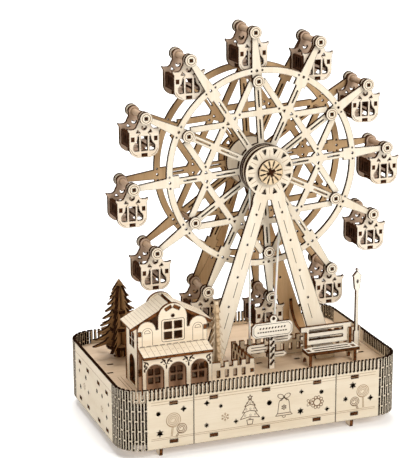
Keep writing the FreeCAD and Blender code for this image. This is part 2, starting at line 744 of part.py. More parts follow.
def gondola_solids():
    plate = gondola_plate_face()
    inner = GONDOLA_Y - SHEET
    out = [plate_xz(plate, -GONDOLA_Y), plate_xz(plate, inner)]
    side = union([rect(-inner, -SIDE_PLATE_LOW, inner, -SIDE_PLATE_TOP),
                  rect(-GONDOLA_Y, -SIDE_TAB_LOW, GONDOLA_Y, -SIDE_TAB_TOP)])
    rows = (-SLAT_SLOT_PITCH, 0.0, SLAT_SLOT_PITCH)
    side = minus(side, [slot(x, -SLAT_SLOT_DROP, SLAT_SLOT_WIDTH, SLAT_SLOT_HEIGHT) for x in rows])
    for s in (-1, 1):
        out.append(plate_yz(side, s * SIDE_PLATE_X - SHEET / 2))
    floor = union([rect(-CABIN_FLOOR_HALF, -inner, CABIN_FLOOR_HALF, inner),
                   rect(-CABIN_TAB_HALF, -GONDOLA_Y, CABIN_TAB_HALF, GONDOLA_Y)])
    out.append(plate_xy(floor, -CABIN_FLOOR_TOP - SHEET))
    for s in (-1, 1):
        x0, x1 = sorted((s * CABIN_SEAT_INNER, s * (SIDE_PLATE_X - SHEET / 2)))
        out.append(box(x0, -inner, -CABIN_SEAT_TOP - CABIN_SEAT_THICK, x1, inner, -CABIN_SEAT_TOP))
    return out


GONDOLA = gondola_solids()
for i in range(12):
    x, z = wheel_point(AXLE_CIRCLE_R, i * 30)
    save("gondola_%02d" % (i + 1), [moved(s, x, 0, z) for s in GONDOLA])

# Belt drive: upper groove, lower pulley, elastic loop
BELT_Y = -PULLEY_END_Y + SHEET + SHEET / 2
BELT_TOP_R = GROOVE_R_TOP + BELT_CLEAR + BELT_R
BELT_LOW_R = GROOVE_R_LOW + BELT_CLEAR + BELT_R


def belt():
    dx = LOW_SHAFT_X - HUB_X
    dz = LOW_SHAFT_Z - HUB_Z
    dist = math.hypot(dx, dz)
    base = math.atan2(dz, dx)
    off = math.acos((BELT_TOP_R - BELT_LOW_R) / dist)

    def at(cx, cz, r, a):
        return V(cx + r * math.cos(a), BELT_Y, cz + r * math.sin(a))

    a1 = base + off
    a2 = base - off
    t1 = at(HUB_X, HUB_Z, BELT_TOP_R, a1)
    t2 = at(HUB_X, HUB_Z, BELT_TOP_R, a2)
    b1 = at(LOW_SHAFT_X, LOW_SHAFT_Z, BELT_LOW_R, a1)
    b2 = at(LOW_SHAFT_X, LOW_SHAFT_Z, BELT_LOW_R, a2)
    top = at(HUB_X, HUB_Z, BELT_TOP_R, base + math.pi)
    low = at(LOW_SHAFT_X, LOW_SHAFT_Z, BELT_LOW_R, base)
    ring = Part.Wire(Part.makeCircle(BELT_R, t2, b2 - t2))
    wire = Part.Wire([Part.makeLine(t2, b2), Part.Arc(b2, low, b1).toShape(),
                      Part.makeLine(b1, t1), Part.Arc(t1, top, t2).toShape()])
    solid = wire.makePipeShell([ring], True, False)
    return solid, (t1, t2, b1, b2)


belt_solid, ends = belt()
save("drive_belt", belt_solid)
for p, q in ((ends[0], ends[2]), (ends[1], ends[3])):
    f = (DECK_BOTTOM + SHEET / 2 - q.z) / (p.z - q.z)
    bx = q.x + f * (p.x - q.x)
    DECK_SLOTS.append(moved(slot(0, 0, BELT_SLOT_WIDTH, BELT_SLOT_LENGTH), bx, BELT_Y))


def low_ring(r, y0, t, bore):
    face = circle(LOW_SHAFT_X, LOW_SHAFT_Z, r).cut(circle(LOW_SHAFT_X, LOW_SHAFT_Z, bore))
    return plate_xz(face.Faces[0], y0, t)


pulley = [low_ring(LOW_FLANGE_R, BELT_Y - 1.5 * SHEET, SHEET, LOW_SHAFT_R),
          low_ring(GROOVE_R_LOW, BELT_Y - 0.5 * SHEET, SHEET, LOW_SHAFT_R),
          low_ring(LOW_FLANGE_R, BELT_Y + 0.5 * SHEET, SHEET, LOW_SHAFT_R)]
save("crank_pulley", pulley)

ribs = []
for y0 in RIB_Y:
    cuts = [circle(LOW_SHAFT_X, LOW_SHAFT_Z, LOW_SHAFT_R + RUN_FIT)]
    cuts += [slot(x, LOW_SHAFT_Z, RIB_WINDOW_WIDTH, RIB_WINDOW_HEIGHT) for x in RIB_WINDOW_X]
    ribs.append(plate_xz(minus(rect(RIB_X[0], FLOOR_TOP, RIB_X[1], DECK_BOTTOM), cuts), y0))
save("bearing_ribs", ribs)

ARM_Y = HALF_D + MOVE_GAP
PIN_Y = ARM_Y + SHEET
PIN_HEAD_Y = PIN_Y + GRIP_LENGTH + 2 * GRIP_END_GAP


def square(x, z, half):
    return rect(x - half, z - half, x + half, z + half)


shaft = cylinder_y(LOW_SHAFT_X, LOW_SHAFT_Z, LOW_SHAFT_R, RIB_Y[0] - SHAFT_STUB, ARM_Y)
shaft_peg = square(LOW_SHAFT_X, LOW_SHAFT_Z, CRANK_PEG_HALF)
save("crank_shaft", shaft.fuse(plate_xz(shaft_peg, ARM_Y, SHEET)).removeSplitter())
grip_x = LOW_SHAFT_X
grip_z = LOW_SHAFT_Z + CRANK_LENGTH
pin_peg = square(grip_x, grip_z, PIN_PEG_HALF)
arm = union([circle(LOW_SHAFT_X, LOW_SHAFT_Z, CRANK_BOSS_R), circle(grip_x, grip_z, CRANK_TIP_R),
             bar(LOW_SHAFT_X, LOW_SHAFT_Z, grip_x, grip_z, CRANK_ROOT_HALF, CRANK_END_HALF)])
save("crank_arm", plate_xz(minus(arm, [shaft_peg, pin_peg]), ARM_Y))
pin = cylinder_y(grip_x, grip_z, GRIP_BORE_R, PIN_Y, PIN_HEAD_Y)
head = plate_xz(circle(grip_x, grip_z, PIN_HEAD_R), PIN_HEAD_Y)
save("crank_pin", pin.fuse([plate_xz(pin_peg, ARM_Y), head]).removeSplitter())
grip = circle(grip_x, grip_z, GRIP_R).cut(circle(grip_x, grip_z, GRIP_BORE_R + RUN_FIT))
save("crank_grip", plate_xz(grip.Faces[0], PIN_Y + GRIP_END_GAP, GRIP_LENGTH))
thick = CRANK_WASHER_THICK
washers = (RIB_Y[0] + SHEET + MOVE_GAP, RIB_Y[1] - thick - MOVE_GAP)
save("crank_washers", [low_ring(CRANK_WASHER_R, y0, thick, LOW_SHAFT_R) for y0 in washers])

# Ticket house, heights above the foot of the walls
HOUSE_X = -74.1
HOUSE_HALF = 31.7
FACADE_Y = -52.0
REAR_FACADE_Y = -19.5
ARCADE_Y = -64.0
SIDE_WALL_HALF = 29.9
ROOF_TAN = 0.53
RIDGE_HEIGHT = 118.0
NOTCH_HEIGHT = 96.4
GABLE_HEIGHT = 118.8
GABLE_HALF = 13.2
EAVE_ARCH_X = 23.5
EAVE_ARCH_R = 8.2
FACADE_TABS = (12.0, 20.0)
UPPER_PANE_X = (1.0, 8.2)
UPPER_PANE_ROWS = ((86.6, 93.4), (95.8, 102.6))
UPPER_PANE_SHIFT = 0.4
ROUND_WINDOW = (0.3, 107.6, 1.6)
LOW_WINDOW_X = (-17.2, 3.2, 23.2)
LOW_PANE_X = (1.0, 5.4)
LOW_PANE_ROWS = ((47.8, 53.2), (55.4, 60.8))
SIDE_TAB_ROWS = ((91.8, 96.0), (56.0, 62.0))
ROOF_ANGLE = math.degrees(math.atan(ROOF_TAN))
ROOF_SHIFT = 0.6
ROOF_TENON_AT = 4.4
ROOF_TENON_HALF = 3.2
ROOF_START = 1.2
ROOF_RUN = 41.5
ROOF_GAP = 0.2
RIDGE_TOP = FOOT_HEIGHT + RIDGE_HEIGHT
NOTCH_Z = FOOT_HEIGHT + NOTCH_HEIGHT
CANOPY_DEPTH = 16.0
CANOPY_BACK_Z = FOOT_HEIGHT + 81.8
CANOPY_DROP = 4.0
CANOPY_GAP = 0.35
ARCH_X = (-20.3, 0.0, 20.3)
ARCH_R = 8.0
ARCH_SPRING = 61.5
ARCH_SILL = 2.2
ARCADE_TABS = (24.5, 28.5)
SIDE_PANE_X = 3.7
SIDE_PANE_HALF = 2.9
SIDE_PANE_ROWS = (78.0, 85.4)
SIDE_PANE_HEIGHT = 6.2
DOOR_R = 7.4
DOOR_SPRING = 63.0
DOOR_SILL = 2.0


def pair_of_tabs(span):
    """Deck tabs of a house plate, one on each side of its centre line."""
    low, high = span
    return [rect(-high, DECK_BOTTOM, -low, DECK_TOP + 1), rect(low, DECK_BOTTOM, high, DECK_TOP + 1)]


def window_panes(centre, pane, rows):
    """Two panes beside a middle bar for each row of a window."""
    out = []
    for s in (-1, 1):
        x0, x1 = sorted((centre + s * pane[0], centre + s * pane[1]))
        for low, high in rows:
            out.append(rect(x0, FOOT_HEIGHT + low, x1, FOOT_HEIGHT + high))
    return out


def roof_tenon(s, grow):
    """Slanted mortise that takes the roof slope's tenon, around the house centre line."""
    length = ROOF_TENON_HALF + grow
    face = rect(ROOF_TENON_AT - length, -SHEET - grow, ROOF_TENON_AT + length, grow)
    face.rotate(V(0, 0, 0), V(0, 0, 1), -ROOF_ANGLE)
    face.translate(V(ROOF_SHIFT, RIDGE_TOP, 0))
    return face if s > 0 else mirrored(face)


def facade_face(windows):
    """Gabled plate of the house; only the front one has the upper window."""
    top = FOOT_HEIGHT + GABLE_HEIGHT
    spring = top - GABLE_HALF
    arch_in = EAVE_ARCH_X - EAVE_ARCH_R
    arch_top = NOTCH_Z + EAVE_ARCH_R
    steps = [(-HOUSE_HALF, NOTCH_Z), (-EAVE_ARCH_X, arch_top, -arch_in, NOTCH_Z), (-GABLE_HALF, NOTCH_Z),
             (-GABLE_HALF, spring), (0, top, GABLE_HALF, spring), (GABLE_HALF, NOTCH_Z), (arch_in, NOTCH_Z),
             (EAVE_ARCH_X, arch_top, HOUSE_HALF, NOTCH_Z), (HOUSE_HALF, DECK_TOP)]
    face = union([path((-HOUSE_HALF, DECK_TOP), steps)] + pair_of_tabs(FACADE_TABS))
    cuts = []
    if windows:
        cuts += window_panes(UPPER_PANE_SHIFT, UPPER_PANE_X, UPPER_PANE_ROWS)
        cuts.append(circle(ROUND_WINDOW[0], FOOT_HEIGHT + ROUND_WINDOW[1], ROUND_WINDOW[2]))
    for centre in LOW_WINDOW_X:
        cuts += window_panes(centre, LOW_PANE_X, LOW_PANE_ROWS)
    reach = SHEET / 2 + TENON_FIT
    for s in (-1, 1):
        x = s * SIDE_WALL_HALF
        for low, high in SIDE_TAB_ROWS:
            z0 = FOOT_HEIGHT + low - TENON_FIT
            z1 = FOOT_HEIGHT + high + TENON_FIT
            cuts.append(rect(x - reach, z0, x + reach, z1))
        cuts.append(roof_tenon(s, TENON_FIT))
    return minus(face, cuts)


def at_house(face):
    return moved(face, HOUSE_X, 0)


def house_slots(span, y0):
    for s in (-1, 1):
        x0, x1 = sorted((HOUSE_X + s * span[0], HOUSE_X + s * span[1]))
        deck_tab_x(x0, x1, y0)


house_slots(FACADE_TABS, FACADE_Y)
house_slots(FACADE_TABS, REAR_FACADE_Y)
save("house_front", plate_xz(at_house(facade_face(True)), FACADE_Y))
save("house_rear", plate_xz(at_house(facade_face(False)), REAR_FACADE_Y))

canopy = box(HOUSE_X - HOUSE_HALF, -CANOPY_DEPTH, -SHEET, HOUSE_X + HOUSE_HALF, 0, 0)
canopy.rotate(V(0, 0, 0), V(1, 0, 0), math.degrees(math.atan(CANOPY_DROP / CANOPY_DEPTH)))
canopy.translate(V(0, FACADE_Y, CANOPY_BACK_Z))
canopy = canopy.common(box(-HALF_L, -HALF_D, 0, 0, FACADE_Y, RIDGE_TOP))
save("house_canopy", canopy)

arcade_top = CANOPY_BACK_Z - SHEET - CANOPY_GAP - (FACADE_Y - ARCADE_Y) * CANOPY_DROP / CANOPY_DEPTH
arcade = union([rect(-HOUSE_HALF, DECK_TOP, HOUSE_HALF, arcade_top)] + pair_of_tabs(ARCADE_TABS))
spring = FOOT_HEIGHT + ARCH_SPRING
sill = DECK_TOP + ARCH_SILL
cuts = []
for c in ARCH_X:
    steps = [(c + ARCH_R, sill), (c + ARCH_R, spring), (c, spring + ARCH_R, c - ARCH_R, spring)]
    cuts.append(path((c - ARCH_R, sill), steps))
house_slots(ARCADE_TABS, ARCADE_Y)
save("house_arcade", plate_xz(at_house(minus(arcade, cuts)), ARCADE_Y))

WALL_Y0 = FACADE_Y + SHEET
WALL_Y1 = REAR_FACADE_Y
roof_thick = SHEET / math.cos(math.radians(ROOF_ANGLE))
wall_top = RIDGE_TOP - ROOF_TAN * (SIDE_WALL_HALF + SHEET / 2) - roof_thick - ROOF_GAP
side = rect(WALL_Y0, DECK_TOP, WALL_Y1, wall_top)
tabs = []
for low, high in SIDE_TAB_ROWS:
    tabs.append(rect(FACADE_Y, FOOT_HEIGHT + low, WALL_Y0 + 1, FOOT_HEIGHT + high))
    tabs.append(rect(WALL_Y1 - 1, FOOT_HEIGHT + low, WALL_Y1 + SHEET, FOOT_HEIGHT + high))
side = union([side] + tabs)
mid_y = (WALL_Y0 + WALL_Y1) / 2
cuts = []
for s in (-1, 1):
    y = mid_y + s * SIDE_PANE_X
    for low in SIDE_PANE_ROWS:
        z = FOOT_HEIGHT + low
        cuts.append(rect(y - SIDE_PANE_HALF, z, y + SIDE_PANE_HALF, z + SIDE_PANE_HEIGHT))
spring = FOOT_HEIGHT + DOOR_SPRING
sill = DECK_TOP + DOOR_SILL
steps = [(mid_y + DOOR_R, sill), (mid_y + DOOR_R, spring), (mid_y, spring + DOOR_R, mid_y - DOOR_R, spring)]
cuts.append(path((mid_y - DOOR_R, sill), steps))
side = minus(side, cuts)
save("house_sides", [plate_yz(side, HOUSE_X + s * SIDE_WALL_HALF - SHEET / 2) for s in (-1, 1)])

roofs = []
for s in (-1, 1):
    slope = rect(ROOF_START, WALL_Y0, ROOF_RUN, WALL_Y1)
    tongue = rect(ROOF_START, FACADE_Y, ROOF_TENON_AT + ROOF_TENON_HALF, WALL_Y1 + SHEET)
    slope = plate_xy(union([slope, tongue]), -SHEET)
    slope.rotate(V(0, 0, 0), V(0, 1, 0), ROOF_ANGLE)
    slope.translate(V(ROOF_SHIFT, 0, RIDGE_TOP))
    if s < 0:
        slope = slope.mirror(V(0, 0, 0), V(1, 0, 0))
    slope.translate(V(HOUSE_X, 0, 0))
    roofs.append(slope)
save("house_roof", roofs)


# Fir trees
TRUNK_HALF = 2.4
VANE_GAP = 0.3
VANE_CLEAR = 0.02
TALL_TREE = (-93.0, 40.0)
TALL_HEIGHT = 73.4
TALL_REACH = 26.5
TALL_TIERS = 9
TALL_TAB_HALF = 6.0
HALF_VANES = (55.0, 125.0, 235.0, 305.0)
PLATE_LEVELS = ((9.0, 13.0), (26.0, 10.0), (42.0, 7.0))
SMALL_TREE = (-30.4, -43.0)
SMALL_HEIGHT = 70.3
SMALL_REACH = 9.2
SMALL_TIERS = 8
SMALL_TAB_HALF = 4.0


def branch_half(height, reach, tiers, trunk):
    """Right half of a fir silhouette standing on the local x axis."""
    pts = [(0, height)]
    pts.append((trunk * 0.6, height - 2.0))
    for i in range(tiers):
        f = (i + 1.0) / tiers
        out = max(trunk + 1.0, reach * (0.16 + 0.84 * f))
        z = height * (0.96 - 0.80 * f)
        step = height * 0.80 / tiers
        pts.append((out * 0.55, z + step * 0.62))
        pts.append((out, z - step * 0.05))
        pts.append((out * 0.90, z - step * 0.12))
        pts.append((out * 0.42 + trunk * 0.3, z + step * 0.22))
    pts.append((trunk, height * 0.10))
    pts.append((trunk, 0))
    pts.append((0, 0))
    return poly(pts)


def fir(cx, cy, height, reach, tiers, angles, plates, tab_half):
    """One full vane, half vanes around it, and level plates that hold them together."""
    half = branch_half(height, reach, tiers, TRUNK_HALF)
    full = union([half, mirrored(half), rect(-tab_half, -SHEET, tab_half, 1.0)])
    full = minus(full, [rect(0, z - TENON_FIT, r, z + SHEET + TENON_FIT) for z, r in plates])
    solids = [plate_xz(moved(full, cx, DECK_TOP), cy - SHEET / 2)]
    DECK_SLOTS.append(rect(cx - tab_half - TENON_FIT, cy - SHEET / 2 - TENON_FIT,
                           cx + tab_half + TENON_FIT, cy + SHEET / 2 + TENON_FIT))
    for z, r in plates:
        disc = minus(circle(0, 0, r), [rect(-r - 1, -SHEET / 2 - TENON_FIT, 0, SHEET / 2 + TENON_FIT)])
        solids.append(plate_xy(moved(disc, cx, cy), DECK_TOP + z))
    for a in angles:
        lean = math.radians(a)
        offset = (SHEET / 2) * (1 + abs(math.cos(lean))) / abs(math.sin(lean)) + VANE_CLEAR
        leaf = branch_half(height - 6.0, reach - offset, tiers, TRUNK_HALF)
        leaf = minus(leaf, [rect(-1, z - TENON_FIT, r - offset + VANE_GAP, z + SHEET + TENON_FIT)
                            for z, r in plates])
        solid = plate_xz(moved(leaf, offset, DECK_TOP), -SHEET / 2)
        solid.rotate(V(0, 0, 0), V(0, 0, 1), a)
        solid.translate(V(cx, cy, 0))
        solids.append(solid)
    return solids


def crossed_fir(cx, cy, height, reach, tiers, tab_half):
    """Two full vanes, slotted into each other half way up."""
    half = branch_half(height, reach, tiers, TRUNK_HALF)
    whole = union([half, mirrored(half)])
    slot_half = SHEET / 2 + TENON_FIT
    middle = height / 2
    lower = union([whole, rect(-tab_half, -SHEET, tab_half, 1.0)])
    lower = minus(lower, [rect(-slot_half, middle, slot_half, height + 1)])
    upper = minus(whole, [rect(-slot_half, -1, slot_half, middle)])
    DECK_SLOTS.append(rect(cx - tab_half - TENON_FIT, cy - SHEET / 2 - TENON_FIT,
                           cx + tab_half + TENON_FIT, cy + SHEET / 2 + TENON_FIT))
    return [plate_xz(moved(lower, cx, DECK_TOP), cy - SHEET / 2),
            plate_yz(moved(upper, cy, DECK_TOP), cx - SHEET / 2)]


tall = fir(*TALL_TREE, TALL_HEIGHT, TALL_REACH, TALL_TIERS, HALF_VANES, PLATE_LEVELS, TALL_TAB_HALF)
save("tree_tall", tall)
save("tree_small", crossed_fir(*SMALL_TREE, SMALL_HEIGHT, SMALL_REACH, SMALL_TIERS, SMALL_TAB_HALF))


# Fences
FENCE_HEIGHT = 18.2
FENCE_PITCH = 7.9
MERLON = 4.3
CRENEL_DEPTH = 4.6
PICKET_GAP = 3.2
FENCE_FRONT_Y = -56.5
FENCE_SIDE_X = -3.6
FENCE_BACK_Y = -12.0
FENCE_FRONT_X0 = -41.4
FENCE_FRONT_X1 = 0.6
FENCE_TENON_LOW = 5.6
FENCE_TENON_HIGH = 8.8
FENCE_END_PLAIN = 3.0
PICKET_ROWS = (4.1, 10.8)
FENCE_FRONT_TABS = (-36.0, -18.0)
FENCE_TAB = 6.0
FENCE_SIDE_TAB = -40.0
FENCE_BACK_TABS = (28.0, 100.0)
FENCE_BACK_TAB = 8.0
FENCE_BACK_END = HALF_L - SHEET - 4.0
FENCE_SIDE_PHASE = 6.0
FENCE_BACK_PHASE = 2.0


def fence_face(length, phase=0.0):
    """Castellated fence from the local origin to the right; phase moves its pattern."""
    cuts = []
    x = phase % FENCE_PITCH
    while x < length + FENCE_PITCH:
        crenel_end = x + FENCE_PITCH - MERLON / 2
        cuts.append(rect(x + MERLON / 2, FENCE_HEIGHT - CRENEL_DEPTH, crenel_end, FENCE_HEIGHT + 1))
        if FENCE_END_PLAIN < x < length - FENCE_END_PLAIN:
            cuts.append(rect(x - PICKET_GAP / 2, PICKET_ROWS[0], x + PICKET_GAP / 2, PICKET_ROWS[1]))
        x += FENCE_PITCH
    return minus(rect(0, 0, length, FENCE_HEIGHT), cuts)


last = FENCE_SIDE_X + SHEET / 2
face = moved(fence_face(FENCE_FRONT_X1 - FENCE_FRONT_X0, last - FENCE_FRONT_X0), FENCE_FRONT_X0, DECK_TOP)
mortise = rect(FENCE_SIDE_X - TENON_FIT, DECK_TOP + FENCE_TENON_LOW - TENON_FIT,
               FENCE_SIDE_X + SHEET + TENON_FIT, DECK_TOP + FENCE_TENON_HIGH + TENON_FIT)
solid_end = rect(last - 2.6, DECK_TOP + 3.0, last + 2.1, DECK_TOP + 12.0)
face = union([face, solid_end] + [deck_tab_x(x, x + FENCE_TAB, FENCE_FRONT_Y) for x in FENCE_FRONT_TABS])
save("fence_front", plate_xz(minus(face, [mortise]), FENCE_FRONT_Y))

y0 = FENCE_FRONT_Y + SHEET
face = moved(fence_face(FENCE_BACK_Y - y0, FENCE_SIDE_PHASE), y0, DECK_TOP)
tenon = rect(FENCE_FRONT_Y, DECK_TOP + FENCE_TENON_LOW, y0 + 1, DECK_TOP + FENCE_TENON_HIGH)
foot = rect(y0, DECK_TOP, y0 + 2, DECK_TOP + 12.0)
tab = deck_tab_y(FENCE_SIDE_TAB, FENCE_SIDE_TAB + FENCE_TAB, FENCE_SIDE_X)
face = union([face, tenon, foot, tab])
save("fence_side", plate_yz(face, FENCE_SIDE_X))

face = moved(fence_face(FENCE_BACK_END - FENCE_SIDE_X, FENCE_BACK_PHASE), FENCE_SIDE_X, DECK_TOP)
notch_top = DECK_TOP + TIE_MIDDLE + TIE_RISE
notch = rect(TIE_X[1] - 0.2, DECK_TOP - 1, TIE_X[1] + SHEET + 0.2, notch_top)
face = union([face, rect(TIE_X[1] - 3, DECK_TOP + 2, TIE_X[1] + 6, DECK_TOP + FENCE_HEIGHT)])
face = minus(face, [notch])
face = union([face] + [deck_tab_x(x, x + FENCE_BACK_TAB, FENCE_BACK_Y) for x in FENCE_BACK_TABS])
save("fence_back", plate_xz(face, FENCE_BACK_Y))

# Sign post with its boards, heights above the foot of the walls
SIGN_Y = -42.0
POST_X = 23.0
POST_HALF = 2.7
POST_TOP = 90.0
STRIPES = 5
STRIPE_FIRST = 6.0
STRIPE_PITCH = 5.9
STRIPE_RUN = 1.7
STRIPE_RISE = 2.3
STRIPE_HALF = 1.05
BOARD_X = (2.5, 41.5)
BOARD_Z = (73.4, 87.4)
BOARD_CUT = 3.0
KNOB_Z = 90.0
KNOB_R = 3.6
KNOB_HOLE_R = 1.4
KNOB_HOLE_RISE = 0.6
ARM_HALF = 1.7
ARM_REACH = 3.6
LEFT_BOARD = (17.2, 3.6, -0.1, 57.6, 65.6)
HIGH_ARROW = (26.2, 40.0, 43.8, 65.6, 72.8)
LOW_ARROW = (26.2, 36.0, 38.8, 51.8, 56.8)
post = rect(POST_X - POST_HALF, DECK_TOP, POST_X + POST_HALF, FOOT_HEIGHT + POST_TOP)
cuts = []
for i in range(STRIPES):
    z = DECK_TOP + STRIPE_FIRST + i * STRIPE_PITCH
    cuts.append(bar(POST_X - STRIPE_RUN, z - STRIPE_RISE, POST_X + STRIPE_RUN, z + STRIPE_RISE, STRIPE_HALF))
post = union([minus(post, cuts), deck_tab_x(POST_X - POST_HALF, POST_X + POST_HALF, SIGN_Y)])
save("sign_post", plate_xz(post, SIGN_Y))


def top_board():
    x0, x1 = BOARD_X
    z0, z1 = BOARD_Z
    c = BOARD_CUT
    face = poly([(x0, z0 + c), (x0 + c, z0), (x1 - c, z0), (x1, z0 + c), (x1, z1 - c), (x1 - c, z1),
                 (x0 + c, z1), (x0, z1 - c)])
    face = union([face, circle(POST_X, KNOB_Z, KNOB_R)])
    return minus(face, [circle(POST_X, KNOB_Z + KNOB_HOLE_RISE, KNOB_HOLE_R)])


def arrow_board(x0, x1, tip, low, high):
    """Pointer board with its arm behind the post: inner end, shoulder, point, low and high edge."""
    middle = (low + high) / 2
    head = poly([(x0, low), (x1, low), (tip, middle), (x1, high), (x0, high)])
    arm0, arm1 = sorted((x0, POST_X - math.copysign(ARM_REACH, tip - x0)))
    return union([head, rect(arm0, middle - ARM_HALF, arm1, middle + ARM_HALF)])


def round_board(x0, x1, tip, low, high):
    """Board with a round outer end, its five sizes as those of the pointer board."""
    middle = (low + high) / 2
    head = path((x0, low), [(x0, high), (x1, high), (tip, middle, x1, low)])
    return union([head, rect(x0, middle - ARM_HALF, POST_X + ARM_REACH, middle + ARM_HALF)])


behind = SIGN_Y + SHEET
boards = [plate_xz(moved(top_board(), 0, FOOT_HEIGHT), SIGN_Y - SHEET)]
for face in (round_board(*LEFT_BOARD), arrow_board(*HIGH_ARROW), arrow_board(*LOW_ARROW)):
    boards.append(plate_xz(moved(face, 0, FOOT_HEIGHT), behind))
save("sign_boards", boards)

# Bench
BENCH_BACK_X = (52.8, 102.6)
BENCH_SEAT_X = (54.2, 105.2)
BENCH_BACK_Y = -37.4
SEAT_FRONT_Y = -51.0
SEAT_TOP = DECK_TOP + 13.4
BACK_TOP = DECK_TOP + 33.0
BACK_BOTTOM = DECK_TOP + 15.6
BENCH_SIDE_X = (55.4, 99.4)
FINGER = 3.6
FINGER_ROWS = (2.0, 9.0)
BACK_SLITS = ((5.0, 2.4), (12.0, 2.0))
BACK_SLIT_INSET = 8.0
SEAT_SLITS = (3.8, 9.0)
SEAT_SLIT_HALF = 0.9
SEAT_TAB = (3.0, 8.0)
SPINE_TAB = 2.0
slats = []
for below, thick in BACK_SLITS:
    z0 = BACK_TOP - below
    x0, x1 = BENCH_BACK_X[0] + BACK_SLIT_INSET, BENCH_BACK_X[1] - BACK_SLIT_INSET
    slats.append(rect(x0, z0 - thick / 2, x1, z0 + thick / 2))
finger = []
for x, end in zip(BENCH_SIDE_X, (BENCH_BACK_X[0] - 1, BENCH_BACK_X[1] + 1)):
    for low in FINGER_ROWS:
        z0 = BACK_BOTTOM + low
        x0, x1 = sorted((end, x + (SHEET if end < x else 0)))
        finger.append(rect(x0 - TENON_FIT, z0 - TENON_FIT, x1 + TENON_FIT, z0 + FINGER + TENON_FIT))
back = minus(rect(BENCH_BACK_X[0], BACK_BOTTOM, BENCH_BACK_X[1], BACK_TOP), slats + finger)
save("bench_back", plate_xz(back, BENCH_BACK_Y))
seat = rect(BENCH_SEAT_X[0], SEAT_FRONT_Y, BENCH_SEAT_X[1], BENCH_BACK_Y)
cuts = []
for back_off in SEAT_SLITS:
    y = SEAT_FRONT_Y + back_off
    cuts.append(rect(BENCH_SEAT_X[0] + BACK_SLIT_INSET, y - SEAT_SLIT_HALF,
                     BENCH_SEAT_X[1] - BACK_SLIT_INSET, y + SEAT_SLIT_HALF))
tab_y0 = SEAT_FRONT_Y + SEAT_TAB[0]
tab_y1 = SEAT_FRONT_Y + SEAT_TAB[1]
for x in BENCH_SIDE_X:
    x1 = x + SHEET + TENON_FIT
    cuts.append(rect(x - TENON_FIT, tab_y0 - TENON_FIT, x1, tab_y1 + TENON_FIT))
    cuts.append(rect(x - TENON_FIT, BENCH_BACK_Y - SPINE_TAB - TENON_FIT, x1, BENCH_BACK_Y + 1.0))
save("bench_seat", plate_xy(minus(seat, cuts), SEAT_TOP - SHEET))
y0 = SEAT_FRONT_Y + 0.6
yb = BENCH_BACK_Y
low_seat = SEAT_TOP - SHEET
steps = [(y0 + 3.4, DECK_TOP), (y0 + 5.0, DECK_TOP + 5.0, y0 + 8.0, DECK_TOP + 6.0),
         (yb - 1.4, DECK_TOP + 4.6, yb + 0.2, DECK_TOP), (yb + SHEET, DECK_TOP), (yb + SHEET, BACK_TOP - 2.6),
         (yb, BACK_TOP - 2.6), (yb, low_seat), (y0, low_seat)]
side = path((y0, DECK_TOP), steps)
rows = [BACK_BOTTOM + low for low in FINGER_ROWS]
gaps = [rect(yb, SEAT_TOP + 1.0, yb + 4, rows[0]), rect(yb, rows[0] + FINGER, yb + 4, rows[1]),
        rect(yb, rows[1] + FINGER, yb + 4, BACK_TOP + 1)]
spine = rect(yb - SPINE_TAB, low_seat - 1, yb, rows[1] + FINGER)
side = union([minus(side, gaps), rect(tab_y0, low_seat - 1, tab_y1, SEAT_TOP), spine])
save("bench_sides", [plate_yz(side, x) for x in BENCH_SIDE_X])

# Lamp post, heights above the foot of the walls
LAMP_X = 110.2
LAMP_Y = -33.0
LAMP_POST_HALF = 1.3
LAMP_BODY_HALF = 3.7
LAMP_WAIST_HALF = 2.6
LAMP_EAVE_HALF = 4.6
LAMP_CREST_HALF = 0.9
LAMP_BASE_HALF = 2.4
LAMP_BASE_HEIGHT = 22.0
LAMP_NECK = 102.4
LAMP_WAIST = 104.6
LAMP_EAVE = 116.2
LAMP_CREST = 120.6
LAMP_STEM_HALF = 0.5
LAMP_BEAD = 122.4
LAMP_BEAD_R = 1.1
LAMP_LIGHT = (111.6, 1.8, 3.0)
OVERLAP = 0.2


def trapezium(low_half, low, high_half, high):
    """Symmetric shape between two heights above the foot of the walls."""
    z0 = FOOT_HEIGHT + low
    z1 = FOOT_HEIGHT + high
    return poly([(-low_half, z0), (low_half, z0), (high_half, z1), (-high_half, z1)])


deck_height = DECK_TOP - FOOT_HEIGHT
lamp = union([trapezium(LAMP_EAVE_HALF, LAMP_EAVE, LAMP_CREST_HALF, LAMP_CREST),
              trapezium(LAMP_WAIST_HALF, LAMP_WAIST, LAMP_BODY_HALF, LAMP_EAVE + OVERLAP),
              trapezium(LAMP_POST_HALF, LAMP_NECK, LAMP_WAIST_HALF, LAMP_WAIST + OVERLAP),
              trapezium(LAMP_POST_HALF, deck_height, LAMP_POST_HALF, LAMP_NECK + OVERLAP),
              trapezium(LAMP_BASE_HALF, deck_height, LAMP_BASE_HALF, deck_height + LAMP_BASE_HEIGHT),
              trapezium(LAMP_STEM_HALF, LAMP_CREST - OVERLAP, LAMP_STEM_HALF, LAMP_BEAD),
              circle(0, FOOT_HEIGHT + LAMP_BEAD, LAMP_BEAD_R)])
light = slot(0, FOOT_HEIGHT + LAMP_LIGHT[0], LAMP_LIGHT[1], LAMP_LIGHT[2])
lamp = moved(minus(lamp, [light]), LAMP_X, 0)
lamp = union([lamp, deck_tab_x(LAMP_X - LAMP_POST_HALF, LAMP_X + LAMP_POST_HALF, LAMP_Y)])
save("lamp_post", plate_xz(lamp, LAMP_Y))

